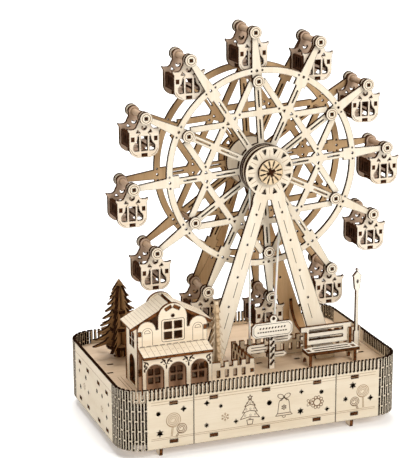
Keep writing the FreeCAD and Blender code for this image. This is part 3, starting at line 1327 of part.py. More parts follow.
# Loose slots in the deck that nothing fills
SPARE_SLOT = (2.6, 1.2)
SPARE_SLOTS = ((78.4, -30.4), (116.0, -31.2), (17.6, -24.8), (-108.8, 20.8), (-115.2, 0.0), (54.4, -26.0))
for x, y in SPARE_SLOTS:
    DECK_SLOTS.append(rect(x - SPARE_SLOT[0], y - SPARE_SLOT[1], x + SPARE_SLOT[0], y + SPARE_SLOT[1]))

# Floor, deck and walls
FOOT_ARCH = 1.5
FOOT_SOLE = 9.0
FOOT_LEAN = 1.0
FOOT_FLARE = 5.0
FOOT_INSET = 4.0
FOOT_TAB = (10.0, 20.0)
OUTER_FEET_X = (-95.4, 84.6)
OUTER_FOOT_HALF = 80.6
MIDDLE_FOOT_HALF = 34.0
CRANK_HOLE_GAP = 0.35
foot_slots = []
foot_solids = []


def add_foot(x, half, ends):
    """Foot plate across the base with two tabs up through the floor; its ends reach down."""
    face = union([rect(-half, FOOT_HEIGHT - FOOT_ARCH, half, FLOOR_BOTTOM)] + ends)
    tabs = []
    for y0 in (-half + FOOT_TAB[0], half - FOOT_TAB[1]):
        y1 = y0 + FOOT_TAB[1] - FOOT_TAB[0]
        tabs.append(rect(y0, FLOOR_BOTTOM - 1, y1, FLOOR_TOP))
        reach = SHEET / 2 + TENON_FIT
        foot_slots.append(rect(x - reach, y0 - TENON_FIT, x + reach, y1 + TENON_FIT))
    foot_solids.append(plate_yz(union([face] + tabs), x - SHEET / 2))


end = -OUTER_FOOT_HALF
wedge = poly([(end, FOOT_HEIGHT), (end + FOOT_LEAN, 0), (end + FOOT_SOLE, 0),
              (end + FOOT_SOLE + FOOT_FLARE, FOOT_HEIGHT)])
for x in OUTER_FEET_X:
    add_foot(x, OUTER_FOOT_HALF, [wedge, mirrored(wedge)])
block = rect(-MIDDLE_FOOT_HALF + FOOT_INSET, 0, MIDDLE_FOOT_HALF - FOOT_INSET, FOOT_HEIGHT)
add_foot(0.0, MIDDLE_FOOT_HALF, [block])
save("feet", foot_solids)
floor = union([inner_outline()] + edge_tabs())
save("base_floor", plate_xy(minus(floor, foot_slots), FLOOR_BOTTOM))
deck = union([inner_outline()] + edge_tabs())
save("deck", plate_xy(minus(deck, DECK_SLOTS), DECK_BOTTOM))

centre_tabs = [x for x in FRONT_TAB_X if abs(x) < SEAM_X]
save("wall_front", panel(-SEAM_X, SEAM_X, centre_tabs, sparks(CENTRE_SPARKS), -HALF_D))
crank_hole = circle(LOW_SHAFT_X, LOW_SHAFT_Z, LOW_SHAFT_R + CRANK_HOLE_GAP)
save("wall_back", panel(-SEAM_X, SEAM_X, centre_tabs, [crank_hole], HALF_D - SHEET))
save("wall_left", side_wall(-1))
save("wall_right", side_wall(1))
print("parts written:", len(os.listdir("parts")))
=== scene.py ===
"""Looks for a laser-cut plywood ferris wheel that stands on a walled fairground base.

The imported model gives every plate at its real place. This script gives the plates their plywood
faces and burnt edges, adds the engraved drawings, and sets up a small studio with its camera.
Lengths are in millimetres, apart from those of the studio and those that Blender itself is given.
"""

import json
import logging
import math
from dataclasses import dataclass, replace
from enum import Enum
from typing import Iterable, Sequence

import bmesh
import bpy
from mathutils import Matrix, Vector

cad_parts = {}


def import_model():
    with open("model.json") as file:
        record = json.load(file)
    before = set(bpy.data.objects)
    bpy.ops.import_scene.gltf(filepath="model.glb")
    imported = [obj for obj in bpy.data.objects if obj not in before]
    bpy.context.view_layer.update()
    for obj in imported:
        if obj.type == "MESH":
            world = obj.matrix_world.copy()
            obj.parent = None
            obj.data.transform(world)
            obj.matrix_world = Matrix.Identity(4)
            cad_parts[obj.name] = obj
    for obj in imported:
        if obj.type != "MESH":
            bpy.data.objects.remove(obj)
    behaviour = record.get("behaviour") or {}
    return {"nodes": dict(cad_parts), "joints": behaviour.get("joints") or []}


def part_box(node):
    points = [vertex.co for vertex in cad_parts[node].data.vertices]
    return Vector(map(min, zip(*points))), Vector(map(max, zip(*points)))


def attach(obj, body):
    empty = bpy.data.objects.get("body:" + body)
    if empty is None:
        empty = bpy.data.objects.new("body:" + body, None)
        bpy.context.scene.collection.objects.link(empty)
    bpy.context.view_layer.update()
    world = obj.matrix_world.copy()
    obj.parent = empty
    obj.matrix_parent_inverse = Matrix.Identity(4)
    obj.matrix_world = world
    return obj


MM = 0.001
LOG = logging.getLogger("ferris_wheel")
Colour = tuple[float, float, float]
Place = tuple[float, float, float]
Spot = tuple[float, float]
Material = bpy.types.Material
Node = bpy.types.Node
Socket = bpy.types.NodeSocket
Tree = bpy.types.NodeTree


# Shader building

class Graph:
    """Adds shader nodes to one tree and joins them; a source is an output socket or a plain value."""

    def __init__(self, tree: Tree) -> None:
        """Keeps the tree that the nodes go into."""
        self.tree = tree

    def node(self, kind: str, sources: dict[str | int, object] | None = None, **settings: object) -> Node:
        """Adds one node and feeds its inputs.

        Args:
            kind: Blender's name of the node type, without the leading ShaderNode.
            sources: The source of each input, by the input's name or number.
            settings: Properties to set on the node.

        Returns:
            The new node.
        """
        made = self.tree.nodes.new("ShaderNode" + kind)
        for name, value in settings.items():
            setattr(made, name, value)
        for key, source in (sources or {}).items():
            self.plug(source, made.inputs[key])
        return made

    def plug(self, source: object, socket: Socket) -> None:
        """Joins an output to an input, or sets the input to a plain value.

        Args:
            source: An output socket or a value, which for a colour has three numbers.
            socket: The input that takes it.
        """
        if isinstance(source, Socket):
            self.tree.links.new(source, socket)
        else:
            socket.default_value = (*source, 1.0) if socket.type == "RGBA" else source

    def math(self, operation: str, *sources: object, clamp: bool = False) -> Socket:
        """The number that a Math node works out, kept from 0 to 1 where clamp says so."""
        return self.node("Math", dict(enumerate(sources)), operation=operation, use_clamp=clamp).outputs[0]

    def near(self, value: object, target: float, reach: float) -> Socket:
        """1 where the value is within reach of the target, else 0."""
        return self.math("COMPARE", value, target, reach)

    def vector(self, operation: str, *sources: object) -> Socket:
        """The vector that a Vector Math node works out."""
        return self.node("VectorMath", dict(enumerate(sources)), operation=operation).outputs["Vector"]

    def scaled(self, vector: object, factor: float) -> Socket:
        """The vector times a number."""
        return self.node("VectorMath", {0: vector, "Scale": factor}, operation="SCALE").outputs["Vector"]

    def dot(self, first: object, second: object) -> Socket:
        """The dot product of two vectors."""
        return self.node("VectorMath", {0: first, 1: second}, operation="DOT_PRODUCT").outputs["Value"]

    def split(self, vector: object) -> tuple[Socket, ...]:
        """The x, y and z of a vector."""
        return tuple(self.node("SeparateXYZ", {0: vector}).outputs)

    def join(self, x: object, y: object, z: object) -> Socket:
        """One vector from three numbers."""
        return self.node("CombineXYZ", {"X": x, "Y": y, "Z": z}).outputs[0]

    def ramp(self, value: object, low: float, high: float) -> Socket:
        """A smooth step from 0 at low to 1 at high."""
        sources = {"Value": value, "From Min": low, "From Max": high}
        return self.node("MapRange", sources, interpolation_type="SMOOTHSTEP").outputs["Result"]

    def noise(self, place: object, scale: float, detail: float = 2.0, roughness: float = 0.5) -> Socket:
        """Cloudy noise from 0 to 1, whose scale counts clouds along a millimetre."""
        sources = {"Vector": place, "Scale": scale, "Detail": detail, "Roughness": roughness}
        return self.node("TexNoise", sources, noise_dimensions="3D").outputs["Fac"]

    def blend(self, factor: object, first: object, second: object) -> Socket:
        """The first colour at factor 0 and the second at factor 1.

        Args:
            factor: Source of the share of the second.
            first: Source of the first colour.
            second: Source of the second colour.

        Returns:
            The blended colour.
        """
        made = self.node("Mix", {"Factor": factor}, data_type="RGBA", clamp_factor=True)
        for source, socket in zip((first, second), (s for s in made.inputs if s.type == "RGBA")):
            self.plug(source, socket)
        return next(s for s in made.outputs if s.type == "RGBA")

    def number_blend(self, factor: object, first: object, second: object) -> Socket:
        """The first number at factor 0 and the second at factor 1."""
        sources = {"Factor": factor, "A": first, "B": second}
        return self.node("Mix", sources, data_type="FLOAT", clamp_factor=True).outputs[0]

    def finish(self, sources: dict[str, object]) -> None:
        """Ends a material with one Principled shader that has these sources."""
        shader = self.node("BsdfPrincipled", sources)
        self.node("OutputMaterial", {"Surface": shader.outputs[0]})


def new_material(name: str) -> tuple[Material, Graph]:
    """Starts a material without nodes.

    Args:
        name: The material's name.

    Returns:
        The material, and the graph that fills it.
    """
    made = bpy.data.materials.new(name)
    made.use_nodes = True
    made.node_tree.nodes.clear()
    return made, Graph(made.node_tree)


def new_group(name: str, inputs: dict[str, str], outputs: dict[str, str]) -> tuple:
    """Starts a shader node group.

    Args:
        name: The group's name.
        inputs: Socket type of each input, by the input's name.
        outputs: Socket type of each output, by the output's name.

    Returns:
        The group's graph, what it is given, and the sockets of what it puts out.
    """
    tree = bpy.data.node_groups.new(name, "ShaderNodeTree")
    for way, sockets in (("INPUT", inputs), ("OUTPUT", outputs)):
        for label, kind in sockets.items():
            tree.interface.new_socket(label, in_out=way, socket_type="NodeSocket" + kind)
    given, result = (tree.nodes.new(kind) for kind in ("NodeGroupInput", "NodeGroupOutput"))
    return Graph(tree), given.outputs, result.inputs


class Groups:
    """The shader node groups that several finishes share.

    The stretches say how much longer a figure is along the fibres than across them, as a factor on x.
    """

    FIGURE_STRETCH = (0.10, 1.0, 1.0)
    FIBRE_STRETCH = (0.35, 1.0, 1.0)
    PORE_STRETCH = (0.6, 1.0, 1.0)

    def __init__(self) -> None:
        """Builds each group once."""
        self.grain = self.build_grain()
        self.edge = self.build_edge()
        self.scorch = self.build_scorch()
        self.gloom = self.build_shade_box()

    def build_grain(self) -> Tree:
        """Long plywood figure: soft bands, fine fibres and a few dark pores.

        Returns:
            The group's tree.
        """
        g, given, result = new_group(
            "plywood_grain", {"Place": "Vector", "Pale": "Color", "Tan": "Color"},
            {"Color": "Color", "Roughness": "Float", "Height": "Float"})
        long = g.vector("MULTIPLY", given["Place"], self.FIGURE_STRETCH)
        bands = g.noise(long, 0.09, 3.0, 0.6)
        fibres = g.noise(g.vector("MULTIPLY", long, self.FIBRE_STRETCH), 1.3, 3.0, 0.7)
        pores = g.noise(g.vector("MULTIPLY", long, self.PORE_STRETCH), 2.6, 1.0, 0.4)
        clouds = g.noise(given["Place"], 0.02)
        pore = g.ramp(pores, 0.66, 0.74)
        tone = g.math("ADD", g.math("MULTIPLY", g.ramp(bands, 0.35, 0.68), 0.5),
                      g.math("MULTIPLY", g.ramp(fibres, 0.3, 0.75), 0.38))
        for part, share in ((g.ramp(clouds, 0.35, 0.7), 0.25), (pore, 0.35)):
            tone = g.math("ADD", tone, g.math("MULTIPLY", part, share), clamp=True)
        g.plug(g.blend(tone, given["Pale"], given["Tan"]), result["Color"])
        g.plug(g.math("ADD", g.math("MULTIPLY", fibres, 0.2), 0.5), result["Roughness"])
        g.plug(g.math("SUBTRACT", fibres, g.math("MULTIPLY", pore, 0.8)), result["Height"])
        return g.tree

    def build_edge(self) -> Tree:
        """Cut edge burnt by the laser, with the plies showing as faint bands.

        Returns:
            The group's tree.
        """
        g, given, result = new_group(
            "burnt_edge",
            {"Facing": "Float", "Depth": "Float", "Place": "Vector", "Char": "Color", "Toast": "Color"},
            {"Mask": "Float", "Color": "Color"})
        ply = g.math("PINGPONG", given["Depth"], 0.5)
        streaks = g.noise(given["Place"], 0.35, 3.0, 0.6)
        tone = g.math("ADD", g.math("MULTIPLY", g.ramp(ply, 0.1, 0.42), 0.35), g.ramp(streaks, 0.3, 0.6),
                      clamp=True)
        g.plug(g.math("SUBTRACT", 1.0, g.ramp(given["Facing"], 0.55, 0.85)), result["Mask"])
        g.plug(g.blend(tone, given["Char"], given["Toast"]), result["Color"])
        return g.tree

    def build_scorch(self) -> Tree:
        """Engraved mark, darker and lighter along its way as the beam slows and speeds up.

        Returns:
            The group's tree.
        """
        g, given, result = new_group("scorch_mark", {"Place": "Vector", "Deep": "Color", "Light": "Color"},
                                     {"Color": "Color"})
        uneven = g.ramp(g.noise(given["Place"], 0.8, 3.0, 0.6), 0.3, 0.75)
        g.plug(g.blend(uneven, given["Deep"], given["Light"]), result["Color"])
        return g.tree

    def build_shade_box(self) -> Tree:
        """Mask of what lies inside a box that gets painted shade, such as the inner faces of a house.

        Returns:
            The group's tree.
        """
        g, given, result = new_group("painted_shade_box", {"Place": "Vector", "Middle": "Vector", "Half": "Vector"},
                                     {"Mask": "Float"})
        away = g.vector("ABSOLUTE", g.vector("SUBTRACT", given["Place"], given["Middle"]))
        x, y, z = g.split(g.vector("SUBTRACT", away, given["Half"]))
        g.plug(g.math("LESS_THAN", g.math("MAXIMUM", g.math("MAXIMUM", x, y), z), 0.0), result["Mask"])
        return g.tree


# Finishes

@dataclass(frozen=True)
class ShadeBox:
    """A box whose inside is darkened to brown: painted shade for the dim inside of a house or cabin.

    Attributes:
        low: Its least x, y and z.
        high: Its greatest x, y and z.
        depth: How strongly the painted shade browns the inside.
    """

    low: Place
    high: Place
    depth: float = 0.8


class Lay(Enum):
    """How the sheet lies in a node, which says where its faces and its cut edges are."""

    FRONT = "front"
    SIDE = "side"
    LEVEL = "level"
    WRAP = "wrap"
    VANES = "vanes"
    CABIN = "cabin"
    ROD = "rod"
    SLOPE = "slope"


DARK_EDGE = (0.048, 0.018, 0.008)


@dataclass(frozen=True)
class Plywood:
    """Colours of one plywood finish.

    Attributes:
        name: Name that its materials start with.
        pale: Light part of the face.
        tan: Darker part of the figure.
        toast: Lighter burn on a cut edge.
        char: Darkest burn on a cut edge.
        soot: How black the face turns beside a cut.
        across: Whether the grain runs upright instead of sideways.
    """

    name: str
    pale: Colour
    tan: Colour
    toast: Colour = DARK_EDGE
    char: Colour = (0.012, 0.005, 0.003)
    soot: float = 0.92
    across: bool = False


@dataclass(frozen=True)
class Scorch:
    """Colours of one depth of engraving.

    Attributes:
        name: The material's name.
        deep: Darkest part of the mark.
        light: Lightest part of the mark.
    """

    name: str
    deep: Colour
    light: Colour


FACE = Plywood("plywood", (0.93, 0.83, 0.67), (0.83, 0.69, 0.52), (0.20, 0.075, 0.026))
WALL = Plywood("plywood_wall", (0.77, 0.68, 0.54), (0.69, 0.58, 0.43), (0.02, 0.008, 0.004), soot=1.0)
CRISP = Plywood("plywood_crisp", (0.96, 0.91, 0.81), (0.90, 0.81, 0.67), (0.14, 0.055, 0.02))
DECK = Plywood("plywood_deck", (0.71, 0.55, 0.39), (0.58, 0.42, 0.27), (0.10, 0.04, 0.018))
WHEEL = Plywood("plywood_wheel", (0.90, 0.82, 0.69), (0.80, 0.69, 0.53), across=True)
CAP = Plywood("plywood_cap", (0.86, 0.70, 0.48), (0.72, 0.53, 0.32))
# Darker golden plywood for the rear parts: painted shade, as they lie behind the front disc and frame.
PAINTED_SHADE_WOOD = Plywood("plywood_painted_shade", (0.62, 0.43, 0.24), (0.48, 0.30, 0.15), across=True)
CABIN = Plywood("plywood_gondola", (0.91, 0.82, 0.70), (0.79, 0.65, 0.49), (0.07, 0.027, 0.012))
# Dark brown of the tall fir: painted shade, as that tree stands in shade.
FIR = Plywood("plywood_burnt", (0.46, 0.28, 0.13), (0.28, 0.15, 0.06), across=True)
SMALL_FIR = Plywood("plywood_fir", (0.84, 0.73, 0.56), (0.72, 0.57, 0.39), (0.66, 0.49, 0.31),
                    (0.30, 0.18, 0.09), soot=0.6, across=True)
ROD = Plywood("wood_rod", (0.52, 0.36, 0.23), (0.29, 0.17, 0.09))
DEEP = Scorch("scorch_deep", (0.020, 0.008, 0.004), (0.07, 0.030, 0.014))
DARK = Scorch("scorch_dark", (0.05, 0.022, 0.010), (0.15, 0.075, 0.035))
BROWN = Scorch("scorch_brown", (0.11, 0.05, 0.022), (0.24, 0.13, 0.06))
FAINT = Scorch("scorch_faint", (0.27, 0.155, 0.08), (0.44, 0.30, 0.17))


@dataclass(frozen=True)
class CabinPlates:
    """Where the plates of a hanging cabin lie, from its axle; a reach is half a plate and a little more.

    Attributes:
        end: Distance of the end plates' inner faces.
        side: Distance of the side plates' middles.
        side_reach: Reach of a side plate.
        side_tab: Height of the side plates' tabs, which show in the end plates.
        side_tab_reach: Reach of such a tab.
        floor_tab: Height of the floor's tab.
        floor_tab_reach: Its reach.
        floor_tab_half: Half its width.
        floor_top: Height of the floor's upper face.
        side_shade_facing: How far the side plates count as faces, so that they look nearly as dark as cut
            edges: painted shade, as they sit in shade between the end plates.
    """

    end: float = 12.08
    side: float = 10.3
    side_reach: float = 1.6
    side_tab: float = -18.6
    side_tab_reach: float = 2.04
    floor_tab: float = -32.5
    floor_tab_reach: float = 1.54
    floor_tab_half: float = 2.75
    floor_top: float = -30.9
    side_shade_facing: float = 0.58

    def facing(self, g: Graph, place: tuple[Socket, ...], normal: tuple[Socket, ...]) -> Socket:
        """How squarely a point looks out of the plate that it is on.

        Args:
            g: The material's graph.
            place: x, y and z from the cabin's axle.
            normal: Absolute x, y and z of the normal.

        Returns:
            1 on a face and 0 on a cut edge.
        """
        x, y, z = place
        nx, ny, nz = normal
        wide = g.math("ABSOLUTE", x)
        at_end = g.math("GREATER_THAN", g.math("ABSOLUTE", y), self.end)
        at_side = g.near(wide, self.side, self.side_reach)
        side_tab = g.math("MULTIPLY", at_side, g.near(z, self.side_tab, self.side_tab_reach))
        floor_tab = g.math("MULTIPLY", g.math("LESS_THAN", wide, self.floor_tab_half),
                           g.near(z, self.floor_tab, self.floor_tab_reach))
        bare = g.math("SUBTRACT", 1.0, g.math("MAXIMUM", side_tab, floor_tab))
        above = g.math("MULTIPLY", at_side, g.math("GREATER_THAN", z, self.floor_top))
        # Painted shade: the side plates above the floor count only partly as faces, so edge colour darkens
        # them.
        inner = g.number_blend(above, nz, g.math("MULTIPLY", nx, self.side_shade_facing))
        return g.number_blend(at_end, inner, g.math("MULTIPLY", ny, bare))


class PlywoodShop:
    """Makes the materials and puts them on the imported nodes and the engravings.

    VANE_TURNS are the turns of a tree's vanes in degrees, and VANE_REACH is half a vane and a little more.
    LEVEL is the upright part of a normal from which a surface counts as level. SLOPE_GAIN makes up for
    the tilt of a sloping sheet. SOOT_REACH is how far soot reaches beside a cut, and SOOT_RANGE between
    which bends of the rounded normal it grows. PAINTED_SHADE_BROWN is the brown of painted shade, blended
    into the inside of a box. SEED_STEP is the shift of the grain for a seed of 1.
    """

    VANE_TURNS = (0.0, 55.0, 90.0, 125.0)
    VANE_REACH = 1.55
    LEVEL = 0.999
    SLOPE_GAIN = 1.2
    SOOT_REACH = 1.15
    SOOT_RANGE = (0.003, 0.08)
    # Brown of the painted shade inside a box.
    PAINTED_SHADE_BROWN = (0.34, 0.14, 0.05)
    SEED_STEP = Vector((37.0, 91.0, 53.0))

    def __init__(self, groups: Groups) -> None:
        """Keeps the shared groups, and starts without materials.

        Args:
            groups: The shader node groups.
        """
        self.groups = groups
        self.count = 0
        self.scorches: dict[Scorch, Material] = {}

    def facing(self, g: Graph, lay: Lay, place: Socket, normal: Socket, straight: Vector) -> Socket:
        """How squarely a point looks out of the sheet.

        Args:
            g: The material's graph.
            lay: How the sheet lies.
            place: Object position, from the pattern's centre.
            normal: Object normal.
            straight: Half lengths of the straight walls, used by WRAP.

        Returns:
            1 on a face and 0 on a cut edge.
        """
        nx, ny, nz = (g.math("ABSOLUTE", side) for side in g.split(normal))
        if lay is Lay.WRAP:
            inner = g.vector("MINIMUM", g.vector("MAXIMUM", place, -straight), straight)
            away = g.vector("MULTIPLY", g.vector("SUBTRACT", place, inner), (1.0, 1.0, 0.0))
            return g.math("ABSOLUTE", g.dot(g.vector("NORMALIZE", away), normal))
        if lay is Lay.VANES:
            best = g.math("GREATER_THAN", nz, self.LEVEL)
            for turn in map(math.radians, self.VANE_TURNS):
                across = (-math.sin(turn), math.cos(turn), 0.0)
                inside = g.near(g.dot(place, across), 0.0, self.VANE_REACH)
                square = g.math("ABSOLUTE", g.dot(normal, across))
                best = g.math("MAXIMUM", best, g.math("MULTIPLY", inside, square))
            return best
        if lay is Lay.CABIN:
            return CabinPlates().facing(g, g.split(place), (nx, ny, nz))
        if lay is Lay.ROD:
            return g.math("SUBTRACT", 1.0, ny)
        if lay is Lay.SLOPE:
            return g.math("MULTIPLY", nz, self.SLOPE_GAIN)
        return {Lay.FRONT: ny, Lay.SIDE: nx, Lay.LEVEL: nz}[lay]

    def soot(self, g: Graph) -> Socket:
        """Scorch on a face beside its cut edges, found where a rounded normal leaves the true one.

        Args:
            g: The material's graph.

        Returns:
            A mask from 0 to 1.
        """
        rounded = g.node("Bevel", {"Radius": self.SOOT_REACH * MM}, samples=4).outputs[0]
        same = g.dot(rounded, g.node("NewGeometry").outputs["True Normal"])
        return g.ramp(g.math("SUBTRACT", 1.0, same), *self.SOOT_RANGE)

    def pattern(self, g: Graph, finish: Plywood, lay: Lay, local: Socket,
                seed: float) -> tuple[Socket, Socket]:
        """Place of the grain, with x along the fibres.

        Args:
            g: The material's graph.
            finish: Says which way the grain runs.
            lay: How the sheet lies.
            local: Object position, from the pattern's centre.
            seed: Shift of the grain.

        Returns:
            The place, and the coordinate through the sheet.
        """
        x, y, z = g.split(local)
        along, cross = {Lay.SIDE: (y, z), Lay.LEVEL: (x, y)}.get(lay, (x, z))
        if lay is Lay.ROD:
            along, cross = y, g.math("ADD", x, z)
        if lay is Lay.WRAP:
            along = g.math("ADD", x, y)
        if finish.across:
            along, cross = cross, along
        through = {Lay.SIDE: x, Lay.LEVEL: z, Lay.SLOPE: z}.get(lay, y)
        flat = g.join(along, cross, g.math("MULTIPLY", through, 0.4))
        return g.vector("ADD", flat, self.SEED_STEP * seed), through

    def material(self, finish: Plywood, lay: Lay, centre: Vector = Vector(), seed: float = 0.0,
                 rooms: Sequence[ShadeBox] = ()) -> Material:
        """One plywood material.

        Args:
            finish: Colours of the sheet.
            lay: How the sheet lies.
            centre: Point that the pattern starts from, or the straight half lengths of WRAP.
            seed: Shift of the grain, so that no two sheets look alike.
            rooms: Boxes whose inside gets painted shade, blended towards brown.

        Returns:
            The material.
        """
        self.count += 1
        made, g = new_material(f"{finish.name}_{lay.value}_{self.count:02d}")
        coords = g.node("TexCoord").outputs
        full = g.scaled(coords["Object"], 1.0 / MM)
        local = full if lay is Lay.WRAP else g.vector("SUBTRACT", full, centre)
        facing = self.facing(g, lay, local, coords["Normal"], centre)
        place, through = self.pattern(g, finish, lay, local, seed)
        grain = g.node("Group", {"Place": place, "Pale": finish.pale, "Tan": finish.tan},
                       node_tree=self.groups.grain).outputs
        edge = g.node("Group", {"Facing": facing, "Depth": through, "Place": local, "Char": finish.char,
                                "Toast": finish.toast}, node_tree=self.groups.edge).outputs
        soot = self.soot(g)
        mask = g.math("MAXIMUM", edge["Mask"], soot)
        face = grain["Color"]
        # Painted shade: inside each box the face is blended towards brown.
        for room in rooms:
            low, high = Vector(room.low), Vector(room.high)
            inside = g.node("Group", {"Place": full, "Middle": (low + high) / 2, "Half": (high - low) / 2},
                            node_tree=self.groups.gloom).outputs["Mask"]
            face = g.blend(g.math("MULTIPLY", inside, room.depth), face, self.PAINTED_SHADE_BROWN)
        wood = g.blend(edge["Mask"], face, edge["Color"])
        bump = g.node("Bump", {"Strength": 0.25, "Distance": 0.1 * MM, "Height": grain["Height"]})
        g.finish({"Base Color": g.blend(g.math("MULTIPLY", soot, finish.soot), wood, finish.char),
                  "Roughness": g.number_blend(mask, grain["Roughness"], 0.85),
                  "Specular IOR Level": g.number_blend(mask, 0.3, 0.0),
                  "Normal": bump.outputs["Normal"]})
        return made

    def scorch(self, finish: Scorch) -> Material:
        """The material of one depth of engraving, made once.

        Args:
            finish: The engraving's colours.

        Returns:
            The material.
        """
        if finish not in self.scorches:
            made, g = new_material(finish.name)
            place = g.scaled(g.node("TexCoord").outputs["Object"], 1.0 / MM)
            mark = g.node("Group", {"Place": place, "Deep": finish.deep, "Light": finish.light},
                          node_tree=self.groups.scorch)
            g.finish({"Base Color": mark.outputs["Color"], "Roughness": 0.9, "Specular IOR Level": 0.2})
            self.scorches[finish] = made
        return self.scorches[finish]

    def elastic(self) -> Material:
        """Milky elastic cord, a little glossy, its colour uneven where it is stretched.

        Returns:
            The material.
        """
        made, g = new_material("elastic_cord")
        place = g.scaled(g.node("TexCoord").outputs["Object"], 1.0 / MM)
        uneven = g.noise(g.vector("MULTIPLY", place, (1.0, 1.0, 0.15)), 0.5)
        g.finish({"Base Color": g.blend(uneven, (0.97, 0.96, 0.94), (0.88, 0.87, 0.83)),
                  "Roughness": g.math("ADD", 0.25, g.math("MULTIPLY", uneven, 0.2)),
                  "Subsurface Weight": 0.2, "Subsurface Scale": MM})
        return made

    def dress(self, nodes: Iterable[str], made: Material) -> None:
        """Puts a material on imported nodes.

        Args:
            nodes: Names of the nodes.
            made: The material.
        """
        for name in nodes:
            for held in FRAME["nodes"][name].material_slots:
                held.material = made
            LOG.info("%s dressed in %s", name, made.name)


# Engraving

def finish_mesh(name: str, mesh: bmesh.types.BMesh, finish: Material,
                smooth: bool = False) -> bpy.types.Object:
    """Turns a bmesh into an object in the scene.

    Args:
        name: The object's name.
        mesh: The shape, which is freed.
        finish: Its material.
        smooth: Whether its faces are shaded smooth.

    Returns:
        The new object.
    """
    data = bpy.data.meshes.new(name)
    mesh.to_mesh(data)
    mesh.free()
    data.materials.append(finish)
    for face in data.polygons:
        face.use_smooth = smooth
    made = bpy.data.objects.new(name, data)
    bpy.context.scene.collection.objects.link(made)
    return made


@dataclass(frozen=True)
class Sheet:
    """The face of a sheet that is engraved.

    Attributes:
        origin: Where the drawing's own zero lies.
        right: Direction of the drawing's x.
        out: Direction out of the sheet.
        body: Body that the sheet rides on.
        slot: The record's material slot; not used.
    """

    origin: Vector
    right: Vector
    out: Vector
    body: str = "base"
    slot: str = "plywood"

    def place(self) -> Matrix:
        """The matrix from the drawing in millimetres to the frame in metres."""
        turn = Matrix((self.right, self.out.cross(self.right), self.out)).transposed().to_4x4()
        return Matrix.Scale(MM, 4) @ Matrix.Translation(self.origin) @ turn


def face_of(node: str, zero: Spot = (0.0, 0.0), way: float = -1.0, body: str = "base",
            slot: str = "plywood") -> Sheet:
    """The upright face of a node that looks to the front or to the rear.

    Args:
        node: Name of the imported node.
        zero: X and Z of the drawing's zero.
        way: -1 for the front face and 1 for the rear one.
        body: Body that the sheet rides on.
        slot: The record's material slot.

    Returns:
        The sheet, whose x runs to the viewer's right.
    """
    low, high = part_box(node)
    origin = Vector((zero[0], (high if way > 0 else low).y / MM, zero[1]))
    return Sheet(origin, Vector((-way, 0.0, 0.0)), Vector((0.0, way, 0.0)), body, slot)


def around(centre: Spot, angle: float, reach: float) -> Spot:
    """The spot at so many degrees from the right and so far from a centre."""
    turn = math.radians(angle)
    return centre[0] + reach * math.cos(turn), centre[1] + reach * math.sin(turn)


